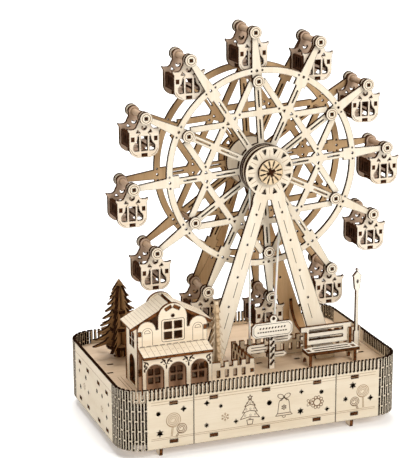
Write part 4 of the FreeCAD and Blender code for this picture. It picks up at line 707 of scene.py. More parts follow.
class Burin:
    """Draws burnt marks flat and lays them on a sheet as thin solids.

    THICKNESS is a mark's whole thickness and SUNK the part of it that lies in the wood. ARC_STEP is the
    turn of one stretch of a curve in degrees, and DOT_SIDES the number of a dot's sides.
    """

    THICKNESS = 0.05
    SUNK = 0.02
    ARC_STEP = 18.0
    DOT_SIDES = 8

    def __init__(self, width: float) -> None:
        """Starts an empty drawing with lines of this width."""
        self.mesh = bmesh.new()
        self.width = width

    @staticmethod
    def shape(centre: Spot, tilt: float, stretch: Spot) -> Matrix:
        """The matrix that stretches a mark, tilts it by so many degrees and moves it to its centre."""
        turn = Matrix.Rotation(math.radians(tilt), 4, "Z")
        return Matrix.Translation((*centre, 0.0)) @ turn @ Matrix.Diagonal((*stretch, 1.0, 1.0))

    def line(self, start: Spot, end: Spot, width: float | None = None) -> None:
        """A straight stroke.

        Args:
            start: Its first end.
            end: Its other end.
            width: Its width, if not the drawing's own.
        """
        run = Vector(end) - Vector(start)
        tilt = math.degrees(math.atan2(run.y, run.x))
        shape = self.shape((Vector(start) + Vector(end)) / 2, tilt, (run.length, width or self.width))
        bmesh.ops.create_grid(self.mesh, x_segments=1, y_segments=1, size=0.5, matrix=shape)

    def ray(self, angle: float, start: float, end: float, centre: Spot = (0.0, 0.0)) -> None:
        """A straight stroke away from a centre, from one distance to another."""
        self.line(around(centre, angle, start), around(centre, angle, end))

    def path(self, spots: Sequence[Spot], closed: bool = False) -> None:
        """Straight strokes from spot to spot, with a round dot at each corner.

        Args:
            spots: The corners and, on an open path, its two ends.
            closed: Whether the last spot is joined to the first.
        """
        for start, end in zip(spots, [*spots[1:], spots[0]] if closed else spots[1:]):
            self.line(start, end)
        for corner in spots if closed else spots[1:-1]:
            self.dot(corner, self.width / 2)

    def arc(self, centre: Spot, radius: float, start: float = 0.0, end: float = 360.0,
            width: float | None = None, stretch: Spot = (1.0, 1.0), tilt: float = 0.0) -> None:
        """A curved stroke, made by turning a short edge about the centre.

        Args:
            centre: Middle of the circle.
            radius: Radius to the middle of the stroke.
            start: First angle in degrees from the right, counter-clockwise.
            end: Last angle.
            width: Its width, if not the drawing's own.
            stretch: Factors along x and y that make it an oval.
            tilt: Turn of the oval in degrees.
        """
        half = (width or self.width) / 2
        known = set(self.mesh.verts)
        ends = [self.mesh.verts.new((radius + side, 0.0, 0.0)) for side in (-half, half)]
        edge = self.mesh.edges.new(ends)
        turn = Matrix.Rotation(math.radians(start), 3, "Z")
        bmesh.ops.rotate(self.mesh, verts=ends, cent=(0, 0, 0), matrix=turn)
        bmesh.ops.spin(self.mesh, geom=ends + [edge], cent=(0, 0, 0), axis=(0, 0, 1),
                       steps=max(3, round(abs(end - start) / self.ARC_STEP)),
                       angle=math.radians(end - start), use_merge=abs(end - start) >= 360.0)
        made = [v for v in self.mesh.verts if v not in known]
        bmesh.ops.transform(self.mesh, verts=made, matrix=self.shape(centre, tilt, stretch))

    def dot(self, centre: Spot, radius: float, stretch: float = 1.0, tilt: float = 0.0) -> None:
        """A filled round or oval mark.

        Args:
            centre: Its middle.
            radius: Its half width.
            stretch: Length over width.
            tilt: Direction of its length in degrees.
        """
        bmesh.ops.create_circle(self.mesh, cap_ends=True, segments=self.DOT_SIDES, radius=radius,
                                matrix=self.shape(centre, tilt, (stretch, 1.0)))

    def arched(self, centre: Spot, radius: float, foot: float) -> None:
        """A round-headed doorway: a half circle on two uprights that start at foot.

        Args:
            centre: Middle of the half circle.
            radius: Its radius.
            foot: Height where the uprights start.
        """
        x, y = centre
        self.arc(centre, radius, 0.0, 180.0)
        for side in (-radius, radius):
            self.line((x + side, foot), (x + side, y))

    def frame(self, low: Spot, high: Spot, corner: float) -> None:
        """A rectangle with round corners.

        Args:
            low: Its lower left corner.
            high: Its upper right corner.
            corner: Radius of its corners.
        """
        left, right, under, over = low[0] + corner, high[0] - corner, low[1] + corner, high[1] - corner
        for y in (low[1], high[1]):
            self.line((left, y), (right, y))
        for x in (low[0], high[0]):
            self.line((x, under), (x, over))
        for i, centre in enumerate(((right, over), (left, over), (left, under), (right, under))):
            self.arc(centre, corner, i * 90.0, i * 90.0 + 90.0)

    def lay(self, name: str, sheet: Sheet, finish: Material) -> None:
        """Thickens the drawing, puts it on the sheet and hands it to the scene.

        Args:
            name: The piece's name.
            sheet: The face it is burnt into.
            finish: Its material.
        """
        mesh = self.mesh
        bmesh.ops.reverse_faces(mesh, faces=[face for face in mesh.faces if face.normal.z < 0])
        raised = bmesh.ops.extrude_face_region(mesh, geom=mesh.faces[:], use_keep_orig=True)
        tops = [v for v in raised["geom"] if isinstance(v, bmesh.types.BMVert)]
        bmesh.ops.translate(mesh, verts=tops, vec=(0.0, 0.0, self.THICKNESS))
        bmesh.ops.translate(mesh, verts=mesh.verts, vec=(0.0, 0.0, -self.SUNK))
        bmesh.ops.transform(mesh, verts=mesh.verts, matrix=sheet.place())
        bmesh.ops.recalc_face_normals(mesh, faces=mesh.faces)
        made = finish_mesh(name, mesh, finish)
        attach(made, sheet.body)
        LOG.info("%s engraved on %s", name, sheet.body)


@dataclass(frozen=True)
class Sweet:
    """A spiral sweet on a stick.

    Attributes:
        centre: Middle of the sweet.
        radius: Its radius.
        foot: Lower end of the stick.
        turns: Number of half turns.
    """

    centre: Spot
    radius: float
    foot: Spot
    turns: int = 7


class Motifs(Burin):
    """The drawings of the front panel: sweets, snow, a fir, a bell and a wreath."""

    STICK_HALF = 0.55
    BARB_TURN = 48.0

    def lollipop(self, sweet: Sweet) -> None:
        """A spiral of half turns, each from where the last one ended, with its stick.

        Args:
            sweet: Its sizes.
        """
        x, y = sweet.centre
        radius = sweet.radius
        step = radius * 0.95 / (sweet.turns + 1)
        for i in range(sweet.turns):
            self.arc((x, y), radius, 180.0 * (i % 2), 180.0 * (i % 2) + 180.0)
            x += step if i % 2 else -step
            radius -= step
        self.arc(sweet.centre, sweet.radius * 1.02, 180.0, 360.0)
        foot = Vector(sweet.foot)
        run = (foot - Vector(sweet.centre)).normalized()
        aside = Vector((-run.y, run.x)) * self.STICK_HALF
        top = Vector(sweet.centre) + run * sweet.radius
        for side in (-aside, aside):
            self.line(top + side, foot + side)

    def snowflake(self, centre: Spot, radius: float) -> None:
        """Six arms with a pair of barbs each.

        Args:
            centre: Its middle.
            radius: Length of an arm.
        """
        for arm in range(30, 390, 60):
            self.ray(arm, radius * 0.15, radius, centre)
            root = around(centre, arm, radius * 0.55)
            for turn in (-self.BARB_TURN, self.BARB_TURN):
                self.ray(arm + turn, 0.0, radius * 0.36, root)

    def star(self, centre: Spot, radius: float) -> None:
        """A five-pointed star in outline."""
        reaches = (radius, radius * 0.42) * 5
        self.path([around(centre, 90 + 36 * i, reach) for i, reach in enumerate(reaches)], closed=True)

    def festive_fir(self, foot: Spot, height: float) -> None:
        """A fir in a pot with baubles, garlands and a star.

        Args:
            foot: Middle of the pot's lower edge.
            height: Height over all.
        """
        x, y = foot
        rim = y + height * 0.16
        low = rim + height * 0.07
        self.path([(x - 3.0, rim), (x - 2.2, y), (x + 2.2, y), (x + 3.0, rim)], closed=True)
        for side in (-0.7, 0.7):
            self.line((x + side, rim), (x + side, low))
        tiers = ((9.0, 4.4), (7.0, 3.4), (5.0, 0.0))
        step = (height - (low - y) - 3.6) / len(tiers)
        for i, (half, neck) in enumerate(tiers):
            base = low + i * step
            for side in (-1, 1):
                self.path([(x, base + 0.9), (x + side * half, base - 0.6), (x + side * neck, base + step)])
            for across in (-0.5, 0.05, 0.55):
                self.arc((x + across * half, base + step * 0.42), 0.75, width=0.3)
        self.star((x, y + height - 2.0), 2.4)

    def bell(self, centre: Spot, height: float) -> None:
        """A hand bell under a bow.

        Args:
            centre: Middle of the bell.
            height: Height over all.
        """
        x, y = centre
        half = height * 0.32
        low, top = y - height * 0.36, y + height * 0.08
        self.arc((x, top), half * 0.62, 0.0, 180.0)
        for side in (-1, 1):
            self.path([(x + side * half * 0.62, top), (x + side * half * 0.74, low + 2.4),
                       (x + side * half, low)])
            self.arc((x + side * 3.1, y + height * 0.36), 2.4, stretch=(1.25, 0.8), tilt=side * 24.0)
            self.path([(x, y + height * 0.32), (x + side * 2.4, y + height * 0.2),
                       (x + side * 4.2, y + height * 0.22)])
        for reach, level in ((half, low), (half * 0.78, low + 2.0)):
            self.line((x - reach, level), (x + reach, level))
        self.arc((x, low - 0.6), 1.5, 180.0, 360.0)
        self.dot((x, y + height * 0.33), 0.9)
        self.snowflake((x, y - height * 0.06), 2.6)

    def wreath(self, centre: Spot, radius: float) -> None:
        """A ring of berries with a bow at its left.

        Args:
            centre: Middle of the ring.
            radius: Radius of the circle that the berries lie on.
        """
        for angle in range(0, 360, 36):
            self.arc(around(centre, angle, radius), radius * 0.27)
        self.arc(centre, radius * 0.66)
        x, y = centre[0] - radius * 1.45, centre[1] + 0.6
        self.dot((x, y), 0.6)
        for side in (-1, 1):
            self.arc((x - 1.4, y + side * 1.7), 1.5, stretch=(1.0, 0.75), tilt=-side * 50.0)
            self.line((x, y), (x + 0.6, y + side * 3.2))


# The object's sub-assemblies

@dataclass
class Section:
    """One sub-assembly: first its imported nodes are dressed, then it is engraved.

    Attributes:
        shop: Makes its materials.
    """

    shop: PlywoodShop

    def dress(self) -> None:
        """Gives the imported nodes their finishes."""
        raise NotImplementedError

    def build(self) -> None:
        """Engraves the sheets; a sub-assembly without engraving leaves this as it is."""

    def clad(self, nodes: Iterable[str], finish: Plywood, lay: Lay, **details: object) -> None:
        """Dresses nodes in plywood; the details are those that the shop's material takes."""
        self.shop.dress(nodes, self.shop.material(finish, lay, **details))

    def burn(self, name: str, drawing: Burin, sheet: Sheet, finish: Scorch) -> None:
        """Lays a drawing on a sheet as a piece of this name."""
        drawing.lay(name, sheet, self.shop.scorch(finish))


@dataclass
class BaseBox(Section):
    """Round-cornered walls, deck, floor, feet and ribs.

    Attributes:
        corner: Outer radius of the walls' corners.
        reach: Distance of the border's ends from the middle.
        seam: Distance of the wall seams from the middle.
        seam_gap: Space between a border line and its end or a seam.
        border_lines: Heights of the border lines, first those under the balusters.
        side_line: Height of the line along a side wall.
        side_end: Space between that line and the wall's corners.
        side_snow: Y and Z of each snowflake on a side wall.
        side_flake: Radius of such a snowflake.
        snow: Middle of the front's snowflake.
        flake: Its radius.
        pale_sweets: The fainter sweets.
        warm_sweets: The darker sweets.
        wreath: Middle of the wreath.
        wreath_ring: Radius of its ring of berries.
        fir_foot: Foot of the fir.
        fir_height: Its height.
        bell: Middle of the bell.
        bell_height: Its height.
        strips: X of the two lines on the deck.
        strip_ends: Y of their ends.
    """

    corner: float = 22.8
    reach: float = 106.0
    seam: float = 66.8
    seam_gap: float = 0.6
    border_lines: tuple[float, ...] = (51.0, 48.6, 16.4, 17.8)
    side_line: float = 54.4
    side_end: float = 4.0
    side_snow: tuple[Spot, ...] = ((-26.0, 28.0), (28.0, 29.6))
    side_flake: float = 3.6
    snow: Spot = (-38.1, 28.9)
    flake: float = 4.0
    pale_sweets: tuple[Sweet, ...] = (
        Sweet((-85.3, 33.1), 6.4, (-87.0, 18.6)), Sweet((93.1, 34.4), 5.8, (93.8, 18.6)))
    warm_sweets: tuple[Sweet, ...] = (
        Sweet((-77.8, 24.4), 4.4, (-83.0, 17.4), 5), Sweet((85.3, 25.4), 4.2, (88.6, 17.8), 5))
    wreath: Spot = (48.7, 30.0)
    wreath_ring: float = 4.8
    fir_foot: Spot = (-15.0, 18.6)
    fir_height: float = 27.0
    bell: Spot = (17.0, 31.4)
    bell_height: float = 25.0
    strips: Spot = (-109.4, -112.2)
    strip_ends: Spot = (-12.0, -52.0)

    def straight(self) -> Vector:
        """Half lengths of the walls' straight stretches."""
        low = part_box("wall_left")[0] / MM
        return Vector((-low.x - self.corner, -low.y - self.corner, 0.0))

    def dress(self) -> None:
        """Gives the box its plywood."""
        self.clad(["wall_front", "wall_back"], WALL, Lay.FRONT)
        self.clad(["wall_left"], WALL, Lay.WRAP, centre=self.straight(), seed=1.0)
        self.clad(["wall_right"], WALL, Lay.WRAP, centre=self.straight(), seed=2.0)
        self.clad(["deck", "base_floor"], DECK, Lay.LEVEL)
        self.clad(["feet"], FACE, Lay.SIDE)
        self.clad(["bearing_ribs"], FACE, Lay.FRONT, seed=9.0)

    def build(self) -> None:
        """Engraves the walls and the deck."""
        self.mark_front()
        self.mark_sides()
        zero = Vector((0.0, 0.0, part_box("deck")[1].z / MM))
        deck = Sheet(zero, Vector((1.0, 0.0, 0.0)), Vector((0.0, 0.0, 1.0)), slot="plywood_structure")
        strips = Burin(0.4)
        for x in self.strips:
            strips.line((x, self.strip_ends[0]), (x, self.strip_ends[1]))
        self.burn("engraved_deck_strips", strips, deck, BROWN)

    def mark_front(self) -> None:
        """Border lines and the winter fair's drawings on the front wall."""
        front = face_of("wall_front", slot="plywood_wall")
        border = Burin(0.35)
        seams = (-self.reach, -self.seam, self.seam, self.reach)
        for z in self.border_lines:
            for x0, x1 in zip(seams, seams[1:]):
                border.line((x0 + self.seam_gap, z), (x1 - self.seam_gap, z))
        self.burn("engraved_border", border, front, FAINT)
        pale = Motifs(0.55)
        for sweet in self.pale_sweets:
            pale.lollipop(sweet)
        pale.snowflake(self.snow, self.flake)
        self.burn("engraved_sweets", pale, front, FAINT)
        warm = Motifs(0.6)
        for sweet in self.warm_sweets:
            warm.lollipop(sweet)
        warm.wreath(self.wreath, self.wreath_ring)
        self.burn("engraved_treats", warm, front, BROWN)
        bold = Motifs(0.62)
        bold.festive_fir(self.fir_foot, self.fir_height)
        bold.bell(self.bell, self.bell_height)
        self.burn("engraved_winter_signs", bold, front, DARK)

    def mark_sides(self) -> None:
        """A line and two snowflakes on each side wall."""
        end = self.straight().y - self.side_end
        for name, side in (("left", -1.0), ("right", 1.0)):
            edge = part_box("wall_" + name)[0 if side < 0 else 1].x / MM
            face = Sheet(Vector((edge, 0.0, 0.0)), Vector((0.0, side, 0.0)), Vector((side, 0.0, 0.0)),
                         slot="plywood_wall")
            marks = Motifs(0.35)
            marks.line((-end, self.side_line), (end, self.side_line))
            for y, z in self.side_snow:
                marks.snowflake((side * y, z), self.side_flake)
            self.burn("engraved_side_" + name, marks, face, FAINT)


@dataclass
class Supports(Section):
    """The two A-frames and their ties.

    Attributes:
        hub: The wheel's centre in X and Z.
        dash_ends: First and last drop below the hub of each dash on a leg.
        dash_slope: How far a dash moves outwards for each millimetre down.
        ray_from: Inner radius of the rays round the hub.
        ray_to: Their outer radius.
        rays: Their number.
    """

    hub: Spot
    dash_ends: tuple[Spot, ...] = (
        (27.2, 34.0), (45.0, 57.4), (71.4, 86.0), (97.6, 111.4), (125.0, 139.4))
    dash_slope: float = 0.3045
    ray_from: float = 13.6
    ray_to: float = 19.6
    rays: int = 12

    def dress(self) -> None:
        """Gives the A-frames their plywood, with upright grain."""
        self.clad(["aframe_front"], WHEEL, Lay.FRONT, seed=4.0)
        # The rear A-frame's darker plywood is painted shade.
        self.clad(["aframe_rear"], PAINTED_SHADE_WOOD, Lay.FRONT, seed=16.0)
        self.clad(["leg_ties"], FACE, Lay.SIDE, seed=10.0)

    def build(self) -> None:
        """Engraves the dashes down the legs and the fine rays round the hub."""
        for name, way in (("front", -1.0), ("rear", 1.0)):
            face = face_of("aframe_" + name, self.hub, way)
            dashes = Burin(0.55)
            for high, low in self.dash_ends:
                for slope in (-self.dash_slope, self.dash_slope):
                    dashes.line((slope * high, -high), (slope * low, -low))
            self.burn("engraved_dashes_" + name, dashes, face, DEEP)
            rays = Burin(0.35)
            for i in range(self.rays):
                rays.ray(90.0 + 360.0 / self.rays * i, self.ray_from, self.ray_to)
            self.burn("engraved_rays_" + name, rays, face, FAINT)


@dataclass
class BigWheel(Section):
    """Wheel discs, hub stack, rods and washers.

    Attributes:
        hub: The wheel's centre in X and Z.
        turn: The wheel's turn at rest, in degrees counter-clockwise.
        sectors: Number of cabins.
        axle_circle: Radius of the circle of cabin axles.
        tie_circle: Radius of the circle of tie rods, one in every second sector.
        ring: Radius of the ring line on a washer.
        ray_turn: Direction of a ray on the shaft caps before the wheel is turned, in degrees.
        ray_from: Inner radius of the caps' rays.
        ray_to: Outer radius, where the cut slots begin.
    """

    hub: Spot
    turn: float = 4.03
    sectors: int = 12
    axle_circle: float = 120.0
    tie_circle: float = 77.5
    ring: float = 3.7
    ray_turn: float = 98.0
    ray_from: float = 3.0
    ray_to: float = 5.8

    def dress(self) -> None:
        """Gives the wheel its plywood and rods."""
        self.clad(["wheel_disc_front", "pulley_flanges", "pulley_core", "hub_discs", "hub_spacers",
                   "tie_washers", "axle_washers"], WHEEL, Lay.FRONT, seed=7.0)
        self.clad(["shaft_caps"], CAP, Lay.FRONT, seed=18.0)
        # The rear disc's darker plywood is painted shade.
        self.clad(["wheel_disc_rear"], PAINTED_SHADE_WOOD, Lay.FRONT, seed=17.0)
        self.clad(["main_shaft", "tie_rods", "gondola_axles"], ROD, Lay.ROD, seed=8.0)

    def build(self) -> None:
        """Engraves a ring on every washer and rays on the shaft caps."""
        for name, way in (("front", -1.0), ("rear", 1.0)):
            rings, rays = Burin(0.55), Burin(0.7)
            for i in range(self.sectors):
                step = 360.0 / self.sectors * i
                angle = way * step + 90.0 - way * self.turn
                rings.arc(around((0.0, 0.0), angle, self.axle_circle), self.ring)
                if i % 2 == 0:
                    rings.arc(around((0.0, 0.0), angle, self.tie_circle), self.ring)
                rays.ray(step + self.ray_turn - way * self.turn, self.ray_from, self.ray_to)
            for node, drawing, piece, finish in (("axle_washers", rings, "engraved_rings_", BROWN),
                                                 ("shaft_caps", rays, "engraved_cap_", DEEP)):
                face = face_of(node, self.hub, way, "wheel", "plywood_wheel")
                self.burn(piece + name, drawing, face, finish)


@dataclass
class Cabins(Section):
    """The twelve hanging cabins.

    Attributes:
        sheet: Thickness of the end plates.
        outer_skin: Depth below the rear end's outer face where the painted shade inside stops.
        shade: How strongly the painted shade browns the inside.
        curve_place: Centre of the curve in the lower right corner, from the axle.
        curve: Its radius.
        curve_turn: Its length in degrees.
        nook_place: Centre of the small curve at the right of the window, from the axle.
        nook: Its radius.
        nook_turn: Its length in degrees.
    """

    sheet: float = 2.95
    outer_skin: float = 0.1
    shade: float = 0.5
    curve_place: Spot = (4.6, -26.0)
    curve: float = 7.2
    curve_turn: float = 66.0
    nook_place: Spot = (7.6, -11.4)
    nook: float = 4.6
    nook_turn: float = 48.0

    def hinges(self) -> list[tuple[str, Vector]]:
        """The name and the axle of each cabin."""
        return [(joint["child"], Vector(joint["pos_m"]) / MM) for joint in FRAME["joints"]
                if joint["name"].startswith("gondola")]

    def dress(self) -> None:
        """Gives each cabin plywood whose pattern starts at its own axle, with painted shade inside it."""
        for cabin, axle in self.hinges():
            low, high = (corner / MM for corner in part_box(cabin))
            # The cabin's inside gets painted shade, blended towards brown.
            inside = ShadeBox((low.x, low.y + self.sheet, low.z), (high.x, high.y - self.outer_skin, high.z),
                          self.shade)
            self.clad([cabin], CABIN, Lay.CABIN, centre=axle, seed=axle.x / 10, rooms=[inside])

    def build(self) -> None:
        """Engraves curved lines in the corners of each cabin's ends."""
        for cabin, axle in self.hinges():
            for name, way in (("front", -1.0), ("rear", 1.0)):
                curves = Burin(0.4)
                for side, curve_start, nook_start in ((-1, 192.0, 292.0), (1, 282.0, 200.0)):
                    for (x, z), radius, start, turn in (
                            (self.curve_place, self.curve, curve_start, self.curve_turn),
                            (self.nook_place, self.nook, nook_start, self.nook_turn)):
                        curves.arc((side * x, z), radius, start, start + turn)
                face = face_of(cabin, (axle.x, axle.z), way, cabin, "plywood_gondola")
                self.burn(f"engraved_{cabin}_{name}", curves, face, BROWN)


@dataclass
class TicketHouse(Section):
    """The small house: facades, arcade, side walls, canopy and roof.

    Attributes:
        middle: X of its centre line.
        lobe: Distance of the side arches from the centre line.
        door_radius: Radius of the blind door's arch.
        door_spring: Height where that arch starts.
        door_inset: Space between its two lines.
        sill: Height of the canopy's upper edge on the facade.
        dash_first: Start of the sill's first dash, from the centre line.
        dash_pitch: Distance from dash to dash.
        dash_length: Length of a dash.
        dashes: Number of dashes.
        window: Lower left and upper right corner of the window's frame.
        window_corner: Radius of the frame's corners.
        pier: Distance of the arcade's inner piers from the centre line.
        end_leaves: X from the centre line, height and tilt of each leaf at the arcade's right end.
        plank: Width of a canopy plank.
        plank_ends: Both ends of a joint between canopy planks, from the canopy's rear edge.
        plank_mark: Both ends and the place of the short mark on a plank, from the joint and that edge.
        canopy_pitch: Slope of the canopy in degrees.
        roof_plank: Width of a roof plank.
        roof_joints: Number of joints on a slope.
        roof_start: Distance of the first plank from the ridge.
        roof_end: Space between a joint's ends and the roof's.
        ridge: Height of the roof's ridge.
        ridge_half: Half the ridge's flat.
        pitch: Slope of the roof in degrees.
        skin: Depth below an outer face where the painted shade inside starts.
        room_height: Height of the room behind the facade above the sill.
        porch_drop: Distance below the sill of the top of the porch's painted shade.
    """

    middle: float = -74.1
    lobe: float = 23.0
    door_radius: float = 4.7
    door_spring: float = 102.0
    door_inset: float = 2.0
    sill: float = 90.3
    dash_first: float = -30.0
    dash_pitch: float = 6.1
    dash_length: float = 4.4
    dashes: int = 10
    window: tuple[Spot, Spot] = ((-9.9, 92.6), (10.7, 112.6))
    window_corner: float = 1.8
    pier: float = 10.15
    end_leaves: tuple[tuple[float, ...], ...] = (
        (29.2, 80.4, 20.0), (27.0, 79.0, 60.0), (29.8, 77.0, 80.0), (28.0, 75.4, 110.0), (30.0, 73.2, 95.0))
    plank: float = 5.28
    plank_ends: Spot = (-0.4, -15.2)
    plank_mark: tuple[float, ...] = (1.2, 3.4, -7.6)
    canopy_pitch: float = 14.04
    roof_plank: float = 3.1
    roof_joints: int = 11
    roof_start: float = 3.6
    roof_end: float = 3.4
    ridge: float = 126.0
    ridge_half: float = 0.6
    pitch: float = 27.92
    skin: float = 0.5
    room_height: float = 15.0
    porch_drop: float = 2.0

    def rooms(self) -> tuple[ShadeBox, ShadeBox]:
        """Boxes that take in the dim inside of the house, which gets painted shade.

        Returns:
            The room behind the front facade, and the porch before it.
        """
        front, rear, porch = (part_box(name) for name in ("house_front", "house_rear", "house_arcade"))
        west, east = front[0].x / MM + self.skin, front[1].x / MM - self.skin
        wall, far = front[0].y / MM + 2 * self.skin, rear[0].y / MM + 2 * self.skin
        near, low = porch[1].y / MM - self.skin, porch[0].z / MM
        return (ShadeBox((west, wall, low), (east, far, self.sill + self.room_height)),
                ShadeBox((west, near, low), (east, wall, self.sill - self.porch_drop)))

    def dress(self) -> None:
        """Gives the house its plywood, with painted shade inside its room and porch."""
        rooms = self.rooms()
        # Facades, arcade and side walls get painted shade inside the room and porch boxes.
        self.clad(["house_front", "house_rear", "house_arcade"], FACE, Lay.FRONT, seed=3.0, rooms=rooms)
        self.clad(["house_sides"], FACE, Lay.SIDE, seed=11.0, rooms=rooms)
        self.clad(["house_roof", "house_canopy"], FACE, Lay.SLOPE, seed=5.0)

    def build(self) -> None:
        """Engraves facade, arcade, canopy and roof."""
        self.mark_facade()
        self.mark_arcade()
        self.mark_canopy()
        self.mark_roof()

    def mark_facade(self) -> None:
        """Two blind doors, the window's frame and a dashed sill."""
        facade = face_of("house_front", (self.middle, 0.0))
        lines = Burin(0.42)
        inner = self.door_radius - self.door_inset
        for x in (-self.lobe, self.lobe):
            lines.arched((x, self.door_spring), self.door_radius, self.sill)
            lines.arc((x, self.door_spring), inner, 0.0, 180.0)
            lines.line((x - inner, self.door_spring), (x + inner, self.door_spring))
        self.burn("engraved_facade", lines, facade, BROWN)
        sill = Burin(0.5)
        sill.frame(*self.window, self.window_corner)
        for i in range(self.dashes):
            x = self.dash_first + self.dash_pitch * i
            sill.line((x, self.sill), (x + self.dash_length, self.sill))
        self.burn("engraved_sill", sill, facade, DEEP)

    def mark_arcade(self) -> None:
        """Sprays of leaves between and beside the arches."""
        leaves = Burin(0.55)
        for x in (-self.pier, self.pier):
            for side, curl in ((-1, -130.0), (1, 60.0)):
                leaves.dot((x + side * 2.4, 80.6), 0.85, 2.6, side * 30.0)
                leaves.dot((x + side * 4.2, 79.0), 0.7, 2.2, side * -20.0)
                leaves.arc((x + side * 1.9, 78.0), 1.3, 0.0, 250.0, tilt=curl)
                leaves.line((x, 76.6), (x + side * 2.6, 80.0))
            leaves.dot((x, 74.4), 0.8, 2.8, 90.0)
        for side in (-1, 1):
            for x, z, tilt in self.end_leaves:
                leaves.dot((side * x, z), 0.75, 2.3, side * tilt)
            leaves.arc((side * 28.4, 78.2), 1.4, 20.0, 290.0)
            leaves.line((side * 29.4, 71.4), (side * 29.0, 79.6))
        self.burn("engraved_sprays", leaves, face_of("house_arcade", (self.middle, 0.0)), DEEP)

    def mark_canopy(self) -> None:
        """Plank joints from back to front, with a short mark across each plank."""
        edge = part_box("house_canopy")[1] / MM
        tilt = math.radians(self.canopy_pitch)
        face = Sheet(Vector((self.middle, edge.y, edge.z)), Vector((1.0, 0.0, 0.0)),
                     Vector((0.0, -math.sin(tilt), math.cos(tilt))))
        planks = Burin(0.32)
        start, end, level = self.plank_mark
        for x in (i * self.plank for i in range(-5, 6)):
            planks.line((x, self.plank_ends[0]), (x, self.plank_ends[1]))
            planks.line((x + start, level), (x + end, level))
        self.burn("engraved_canopy", planks, face, FAINT)

    def mark_roof(self) -> None:
        """Plank joints along the ridge on both slopes."""
        low, high = (corner.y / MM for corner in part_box("house_roof"))
        tilt = math.radians(self.pitch)
        for name, side in (("left", -1.0), ("right", 1.0)):
            face = Sheet(Vector((self.middle + side * self.ridge_half, 0.0, self.ridge)),
                         Vector((0.0, side, 0.0)), Vector((side * math.sin(tilt), 0.0, math.cos(tilt))))
            planks = Burin(0.18)
            start, end = sorted((side * (low + self.roof_end), side * (high - self.roof_end)))
            for i in range(1, self.roof_joints + 1):
                down = -(self.roof_start + i * self.roof_plank)
                planks.line((start, down), (end, down))
            self.burn("engraved_roof_" + name, planks, face, FAINT)


@dataclass
class Grounds(Section):
    """Trees, fences, sign, bench and lamp on the deck.

    Attributes:
        board: Lower left and upper right corner of the upper board's border.
        board_cut: How far the border's corners are cut.
        marks: Start, pitch and height of the board's upper row of plain marks.
        bars: Start, pitch and height of its lower row.
        bar_length: Length of a mark in the lower row.
        arrow_lines: Both ends and the heights of the lines on each lower board.
        rail_lines: Heights of the lines on the bench's back.
        rail_end: Space between these lines and the back's ends.
    """

    board: tuple[Spot, Spot] = ((4.1, 83.0), (39.9, 93.8))
    board_cut: float = 2.4
    marks: tuple[float, ...] = (10.4, 2.9, 90.2)
    bars: tuple[float, ...] = (7.6, 2.4, 86.7)
    bar_length: float = 1.7
    arrow_lines: tuple[tuple[float, float, Sequence[float]], ...] = (
        (27.6, 39.4, (75.9, 78.5)), (4.2, 18.4, (68.3, 70.9)), (27.4, 35.4, (62.3,)))
    rail_lines: tuple[float, ...] = (70.4, 73.2, 77.2, 80.4)
    rail_end: float = 8.0

    def dress(self) -> None:
        """Gives the furniture its plywood."""
        self.clad(["fence_front", "fence_back"], FACE, Lay.FRONT, seed=12.0)
        self.clad(["sign_post", "sign_boards", "bench_back", "lamp_post"], CRISP, Lay.FRONT, seed=12.0)
        self.clad(["fence_side", "bench_sides"], FACE, Lay.SIDE, seed=13.0)
        self.clad(["bench_seat"], CRISP, Lay.LEVEL, seed=6.0)
        # The tall fir's dark brown finish is painted shade.
        for node, finish, seed in (("tree_tall", FIR, 0.0), ("tree_small", SMALL_FIR, 1.0)):
            middle = sum(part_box(node), Vector()) / 2 / MM
            self.clad([node], finish, Lay.VANES, centre=Vector((middle.x, middle.y, 0.0)), seed=seed)

    def build(self) -> None:
        """Engraves the sign's boards and the bench's back."""
        face = face_of("sign_boards")
        self.mark_board(face)
        arrows = Burin(0.75)
        for x0, x1, heights in self.arrow_lines:
            for z in heights:
                arrows.line((x0, z), (x1, z))
        behind_post = replace(face, origin=Vector((0.0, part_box("sign_post")[1].y / MM, 0.0)))
        self.burn("engraved_arrows", arrows, behind_post, DEEP)
        low, high = (corner.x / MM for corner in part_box("bench_back"))
        rail = Burin(0.6)
        for z in self.rail_lines:
            rail.line((low + self.rail_end, z), (high - self.rail_end, z))
        self.burn("engraved_bench", rail, face_of("bench_back"), DEEP)

    def mark_board(self, face: Sheet) -> None:
        """A border with cut corners and two rows of plain marks on the upper board.

        Args:
            face: The front of the sign's boards.
        """
        (x0, z0), (x1, z1) = self.board
        cut = self.board_cut
        lines = Burin(0.45)
        lines.path([(x0, z0 + cut), (x0 + cut, z0), (x1 - cut, z0), (x1, z0 + cut), (x1, z1 - cut),
                    (x1 - cut, z1), (x0 + cut, z1), (x0, z1 - cut)], closed=True)
        start, pitch, z = self.marks
        for i in range(9):
            lines.dot((start + pitch * i, z), 0.75, 1.5, 45.0)
        start, pitch, z = self.bars
        for x in (start + pitch * i for i in range(12)):
            lines.line((x, z), (x + self.bar_length, z), 1.1)
        self.burn("engraved_sign", lines, face, DEEP)


class Drive(Section):
    """Crank, lower pulley, shaft and the elastic belt."""

    def dress(self) -> None:
        """Gives the drive its plywood, rods and elastic."""
        self.clad(["crank_arm", "crank_washers", "crank_pulley"], FACE, Lay.FRONT, seed=14.0)
        self.clad(["crank_shaft", "crank_pin", "crank_grip"], ROD, Lay.ROD, seed=15.0)
        self.shop.dress(["drive_belt"], self.shop.elastic())


# The studio, in metres

AIM = (0.0002, 0.0, 0.15008)
WHITE = (1.0, 1.0, 1.0)


